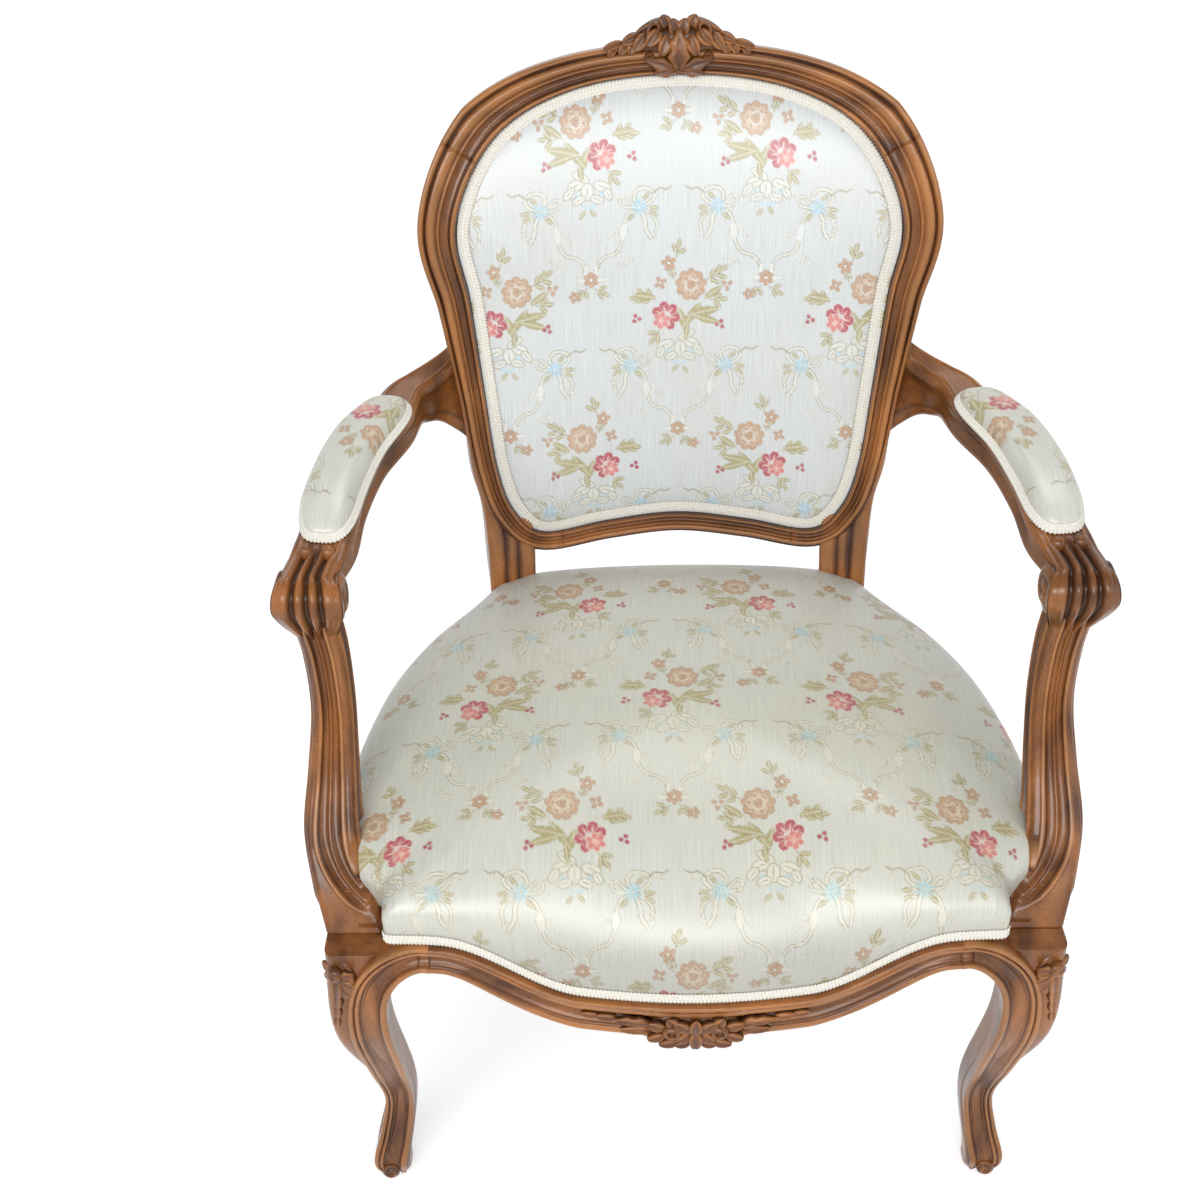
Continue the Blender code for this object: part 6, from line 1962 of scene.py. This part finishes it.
@dataclass
class BackUpholstery:
    """The stuffed panel in the back, the plain-stretched cover behind it, and the gimp round both."""

    back: BackFrame
    crown: float = 0.020
    rear_crown: float = 0.005
    fabric_start: float = 0.695
    # Painted light: the front panel is made brighter and bluer than the same cloth elsewhere.
    painted_light: tuple = (1.12, 1.18, 1.34)
    firmness: tuple = (0.8, 0.6)
    skin: float = 0.0004
    grid: int = 381
    rear_grid: int = 141

    def rays(self, start: float, crown: float) -> Array:
        """Rays from the middle of a cover to the rebate; its depth is start + crown (1 - s^2.4)^0.7.

        Args:
            start: how far behind the frame's face the cover's edge lies.
            crown: how much deeper its middle lies; negative for a cover that swells forward.

        Returns:
            The rays, loop points by steps by five.
        """
        back, rim, heart = self.back, self.back.rim, self.back.heart
        inset = back.loop - 0.0100 * back.normal
        share = np.sin(0.5 * pi * np.linspace(0.0, 1.0, 120))
        plan = heart + share[None, :, None] * (inset - heart)[:, None]
        deep = np.broadcast_to(start + crown * (1.0 - share**2.4) ** 0.7, plan.shape[:2])
        plan = np.concatenate((plan, rim[:, None]), axis=1)
        deep = np.concatenate((deep, np.full((len(rim), 1), start)), axis=1)
        places = back.on_back(plan, deep)
        cloth = plan - np.array((0.0, self.fabric_start))
        return even_rays(np.concatenate((places, cloth), axis=2), 200)

    def build(self, finishes: Finishes, brocade: Brocade, braid: Braid) -> None:
        """Mesh both covers and their gimp."""
        back, skin = self.back, self.skin
        front = back.rebate - CLEARANCE
        rear = back.depth - back.rebate + CLEARANCE
        covers = (
            ("back_panel", front, -self.crown, self.grid, -skin, self.painted_light, self.firmness[0],
             ("back_cover", "back_stuffing", "back_hessian")),
            ("back_panel_rear", rear, self.rear_crown, self.rear_grid, skin, (1.0, 1.0, 1.0),
             self.firmness[1], ("back_cover_rear",)),
        )
        for name, start, crown, grid, behind, painted_light, fill, nodes in covers:
            inside = 0.5 * back.depth + behind
            panel = cushion(self.rays(start, crown), grid, brocade, [back.on_back(back.rim, inside)],
                            back.on_back(back.heart, inside))
            # Painted light: the front panel's colours are brightened and cooled; the rear cover keeps its
            # own.
            panel.colour = panel.colour * np.array(painted_light)
            make_piece(name, panel, finishes.brocade, *nodes)
        line = back.loop - (0.5 * braid.width + 0.0008) * back.normal
        across = np.column_stack((back.normal[:, 0], np.zeros(len(line)), back.normal[:, 1]))
        for name, node, deep, out in (("gimp_back", "back_gimp", front - skin, -back.backward),
                                      ("gimp_back_rear", "back_gimp_rear", rear + skin, back.backward)):
            rows = np.column_stack((back.on_back(line, deep), across, np.tile(out, (len(line), 1))))
            make_piece(name, braid.along(rows, True), finishes.gimp, node)


@dataclass
class ArmPads:
    """The stuffed pads on the arms with the gimp round them."""

    arms: Arms
    half_length: float = 0.101
    half_width: float = 0.0238
    rise: float = 0.023
    middle: float = 0.606
    fabric_start: tuple = (-0.010, 0.040)
    gimp_height: float = 0.0045
    firmness: float = 0.9
    grid: int = 121

    def places(self, plan: Array, height: float | Array) -> Array:
        """Places over the arm's top.

        Args:
            plan: distances along the arm from the pad's middle, and across it.
            height: how far above the arm.

        Returns:
            The places.
        """
        arms = self.arms
        rows = np.vstack((arms.arm_path(), (*arms.hand, arms.hand_width, 1.28 * arms.thickness)))
        path = through(rows, 300)
        along = unit(np.gradient(path[:, :3], axis=0))
        across = unit(np.cross(along, UP))
        over = np.cross(across, along)
        run = lengths(path)
        at = self.middle * run[-1] + plan[..., 0]
        table = np.column_stack((path[:, :3] + 0.5 * path[:, 4:5] * over, across, over))
        values = picked(at, run, table)
        height = np.asarray(height)[..., None]
        return values[..., :3] + plan[..., 1:2] * values[..., 3:6] + height * values[..., 6:9]

    def edge(self, angle: Array, out: float) -> Array:
        """The pad's outline at angles, some way outside it: an ellipse with its corners filled out."""
        wave = np.stack((np.cos(angle), np.sin(angle)), axis=1)
        half = np.array((self.half_length + out, self.half_width + out))
        return half * np.sign(wave) * np.abs(wave) ** (0.62, 0.55)

    def surface(self, brocade: Brocade) -> Surface:
        """The pad: a long rounded outline whose height is (1 - s^4)^0.55 over a short wall."""
        edge = self.edge(circle(360), 0.0)
        share = np.sin(0.5 * pi * np.linspace(0.0, 1.0, 70))
        swell = np.concatenate((0.2 + 0.8 * (1.0 - share**4) ** 0.55, (0.1, 0.02, -0.08)))
        plan = share[None, :, None] * edge[:, None]
        plan = np.concatenate((plan, np.repeat(edge[:, None], 3, axis=1)), axis=1)
        height = np.broadcast_to(self.rise * swell, plan.shape[:2])
        cloth = plan[..., ::-1] + np.array(self.fabric_start)
        table = even_rays(np.concatenate((self.places(plan, height), cloth), axis=2), 90)
        below = self.places(0.9 * edge, -0.1 * self.rise)
        return cushion(table, self.grid, brocade, [below], self.places(np.zeros(2), -0.1 * self.rise))

    def gimp_rows(self) -> Array:
        """The path of the braid round the pad's foot."""
        edge = through(self.edge(circle(240), 0.001), 240, closed=True)
        out = ways_out(edge)
        base = self.places(edge, self.gimp_height)
        over = unit(self.places(edge, self.gimp_height + 0.01) - base)
        outward = unit(self.places(edge + 0.01 * out, self.gimp_height) - base)
        return np.column_stack((base, 0.80 * over - 0.60 * outward, 0.60 * over + 0.80 * outward))

    def build(self, finishes: Finishes, brocade: Brocade, braid: Braid) -> None:
        """Mesh the pads and their gimp."""
        pad = self.surface(brocade)
        rows = self.gimp_rows()
        for side in Side:
            word = side.word
            piece = make_piece(f"pad_{word}", pad.mirrored(side), finishes.brocade, f"arm_pad_cover_{word}",
                               f"arm_pad_stuffing_{word}")
            turned = rows * np.tile((side.value, 1.0, 1.0), 3)
            make_piece(f"gimp_pad_{word}", braid.along(turned, True), finishes.gimp, f"arm_pad_gimp_{word}")


@dataclass
class SeatWorks:
    """What is under the seat: webbing, hessian and dust cover, with the plain parts of the frame."""

    seat: SeatUpholstery
    sag: float = 0.004
    webbing_thickness: float = 0.0016
    strap_steps: int = 120

    def strap(self, node: str, lengthwise: bool, phase: float) -> Surface:
        """A strip of webbing in its node's box: it passes over and under those that cross it.

        Along it the height is a cosine of the crossing pitch on a shallow parabola.

        Args:
            node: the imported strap.
            lengthwise: whether it runs from front to rear.
            phase: where its wave starts, in radians.

        Returns:
            The surface.
        """
        low, high = (np.array(corner) - FROM_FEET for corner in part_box(node))
        axis = 1 if lengthwise else 0
        share = np.linspace(-1.0, 1.0, self.strap_steps)
        run = np.linspace(low[axis], high[axis], self.strap_steps)
        wide = 0.5 * (high - low)[1 - axis]
        middle = 0.5 * (high + low)[1 - axis]
        wave = 0.0009 * np.cos(3 * pi * share + phase)
        height = low[2] + 0.003 - self.sag * (1.0 - share**2) + wave
        across = np.linspace(-1.0, 1.0, 5)
        across = np.concatenate((across, across[::-1]))
        points = np.zeros((self.strap_steps, len(across), 3))
        points[:, :, axis] = run[:, None]
        points[:, :, 1 - axis] = middle + 0.95 * wide * across
        points[:, :, 2] = height[:, None] + self.webbing_thickness * np.repeat((-0.5, 0.5), 5)
        return tube(points)

    def cloth(self, edge: Array, height: float, bulge: float, inset: float) -> Surface:
        """A thin stretched cloth inside the rails: a disc of rays with a parabola for its height.

        Args:
            edge: the seat's edge.
            height: of the cloth's rim.
            bulge: how much higher its middle lies.
            inset: its rim as a share of the edge.

        Returns:
            The surface.
        """
        share = np.linspace(0.0, 1.0, 24)[1:]
        heart = np.array((0.0, edge[:, 1].mean()))
        rim = heart + inset * (edge[::9, :2] - heart)
        layers = []
        for thick in (0.0, 0.0010):
            plan = heart + share[:, None, None] * (rim - heart)[None]
            rise = height + thick + bulge * (1.0 - share**2)[:, None] * np.ones(len(rim))
            layers.append(np.concatenate((plan, rise[..., None]), axis=2))
        return tube(np.concatenate((layers[0], layers[1][::-1])))

    def build(self, finishes: Finishes) -> None:
        """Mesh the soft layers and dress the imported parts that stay."""
        edge = self.seat.rays()[1]
        for number in (1, 2, 3):
            for word, lengthwise, phase in (("lengthwise", True, 0.0), ("crosswise", False, pi)):
                node = f"webbing_{word}_{number}"
                strap = self.strap(node, lengthwise, phase)
                make_piece(f"strap_{word}_{number}", strap, finishes.webbing, node)
        dust = self.cloth(edge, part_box("seat_dust_cover")[0].z, -self.sag, 0.93)
        make_piece("dust_cloth", dust, finishes.lining, "seat_dust_cover")
        hessian = self.cloth(edge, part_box("seat_hessian")[0].z, self.sag, 0.9)
        make_piece("spring_cloth", hessian, finishes.hessian, "seat_hessian")
        plain = {"dowel": finishes.wood, "corner_block": finishes.wood, "rear_seat_rail": finishes.wood,
                 "screw": finishes.steel, "spring": finishes.steel}
        for name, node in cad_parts.items():
            for word, finish in plain.items():
                if word in name:
                    node.data.materials.clear()
                    node.data.materials.append(finish.material)


# The studio


def aimed(data: bpy.types.ID, place: Sequence[float], right: Array, up: Array) -> bpy.types.Object:
    """A camera or lamp, placed and turned.

    Args:
        data: the camera or lamp.
        place: where it stands.
        right: the direction of its X.
        up: the direction of its Y.

    Returns:
        The object.
    """
    matrix = np.eye(4)
    matrix[:3, :3] = np.column_stack((right, up, np.cross(right, up)))
    matrix[:3, 3] = place
    thing = bpy.data.objects.new(data.name, data)
    thing.matrix_world = matrix.T.tolist()
    bpy.context.scene.collection.objects.link(thing)
    return thing


@dataclass
class Studio:
    """A pale room without corners, soft lamps and the photograph's view."""

    eye: tuple = (-0.05712, -0.84439, 1.33397)
    pitch: float = 0.64525
    yaw: float = -0.0182
    roll: float = -0.02275
    lens: float = 45.0
    paper: tuple = (238, 238, 238)
    glow: float = 0.46
    far_glow: float = 0.78
    floor_radius: float = 7.0
    floor_bend: float = 3.0
    wall_height: float = 6.0
    look_at: tuple = (0.0, 0.0, 0.5)
    lamps: tuple = (
        ("key", (-0.5, -2.3, 2.0), (3.2, 0.6), 66.0),
        ("fill", (2.2, -1.4, 1.5), (1.8, 1.8), 10.0),
        ("top", (0.3, 1.0, 2.9), (1.8, 0.9), 22.0),
    )
    sky: tuple = (0.94, 0.97, 1.0, 1.0)
    sky_strength: float = 0.38

    def camera(self) -> None:
        """Set the view of the photograph."""
        right = np.array((cos(self.yaw), -sin(self.yaw), 0.0))
        ahead = np.array((sin(self.yaw), cos(self.yaw), 0.0))
        upward = sin(self.pitch) * ahead + cos(self.pitch) * UP
        across = cos(self.roll) * right + sin(self.roll) * upward
        above = -sin(self.roll) * right + cos(self.roll) * upward
        data = bpy.data.cameras.new("view")
        data.lens = self.lens
        data.sensor_width = 36.0
        bpy.context.scene.camera = aimed(data, self.eye + FROM_FEET, across, above)

    def floor(self) -> None:
        """Lay a round floor that bends up into a wall far from the chair, by a quarter circle."""
        flat, bend, wall = self.floor_radius, self.floor_bend, self.wall_height
        arc = np.linspace(0.1, pi / 2, 16)
        turn = np.linspace(0.0, 2 * pi, 73)[None, :]
        level = np.linspace(0.0, flat, 24)
        away = np.concatenate((level, flat + bend * np.sin(arc), (flat + bend,)))[:, None]
        rise = np.concatenate((np.zeros(len(level)), bend - bend * np.cos(arc), (wall,)))[:, None]
        points = np.stack(np.broadcast_arrays(away * np.cos(turn), away * np.sin(turn), rise), axis=-1)
        faces = grid_quads(*points.shape[:2])
        mesh = bpy.data.meshes.new("paper")
        mesh.from_pydata(points.reshape(-1, 3).tolist(), [], faces.tolist())
        mesh.shade_smooth()
        nodes = Nodes("white_paper")
        rays = nodes.add("ShaderNodeLightPath").outputs
        seen = nodes.maths("MAXIMUM", rays["Is Camera Ray"], rays["Is Glossy Ray"])
        seen = nodes.maths("MAXIMUM", seen, rays["Is Transmission Ray"])
        away = nodes.add("ShaderNodeVectorMath", {0: nodes.place()}, operation="LENGTH").outputs["Value"]
        far = nodes.ranged(away, 0.8, 5.0, self.glow, self.far_glow)
        nodes.feed(nodes.shader, {"Base Color": rgba(self.paper), "Roughness": 0.9,
                                  "Emission Color": (1.0, 1.0, 1.0, 1.0),
                                  "Emission Strength": nodes.maths("MULTIPLY", seen, far)})
        mesh.materials.append(nodes.material)
        floor = bpy.data.objects.new("paper", mesh)
        bpy.context.scene.collection.objects.link(floor)

    def lamp(self, name: str, place: Sequence[float], size: tuple[float, float], power: float) -> None:
        """Hang an oblong lamp that looks at the middle of the chair.

        Args:
            name: the lamp's name.
            place: where it hangs.
            size: its width and height.
            power: its power in watts.
        """
        data = bpy.data.lights.new(name, "AREA")
        data.shape = "RECTANGLE"
        data.size, data.size_y = size
        data.energy = power
        away = unit(np.array(place) - np.array(self.look_at))
        side = unit(np.cross(UP, away))
        aimed(data, place, side, np.cross(away, side))

    def build(self) -> None:
        """Set floor, lamps, world and camera."""
        self.floor()
        for lamp in self.lamps:
            self.lamp(*lamp)
        world = bpy.data.worlds.new("room")
        world.use_nodes = True
        sky = world.node_tree.nodes["Background"].inputs
        sky["Color"].default_value = self.sky
        sky["Strength"].default_value = self.sky_strength
        bpy.context.scene.world = world
        bpy.context.scene.view_settings.view_transform = "Standard"
        self.camera()


def main() -> None:
    """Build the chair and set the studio."""
    logging.basicConfig(level=logging.INFO, format="%(message)s")
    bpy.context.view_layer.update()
    finishes, brocade, braid = Finishes.made(), Brocade(), Braid()
    back = BackFrame()
    rails, arms = SeatFrame(back), Arms(back)
    seat = SeatUpholstery(rails, arms)
    back.build(finishes)
    rails.build(finishes)
    arms.build(finishes)
    seat.build(finishes, brocade, braid)
    BackUpholstery(back).build(finishes, brocade, braid)
    ArmPads(arms).build(finishes, brocade, Braid(width=0.0085))
    SeatWorks(seat).build(finishes)
    Studio().build()


if __name__ == "__main__":
    main()
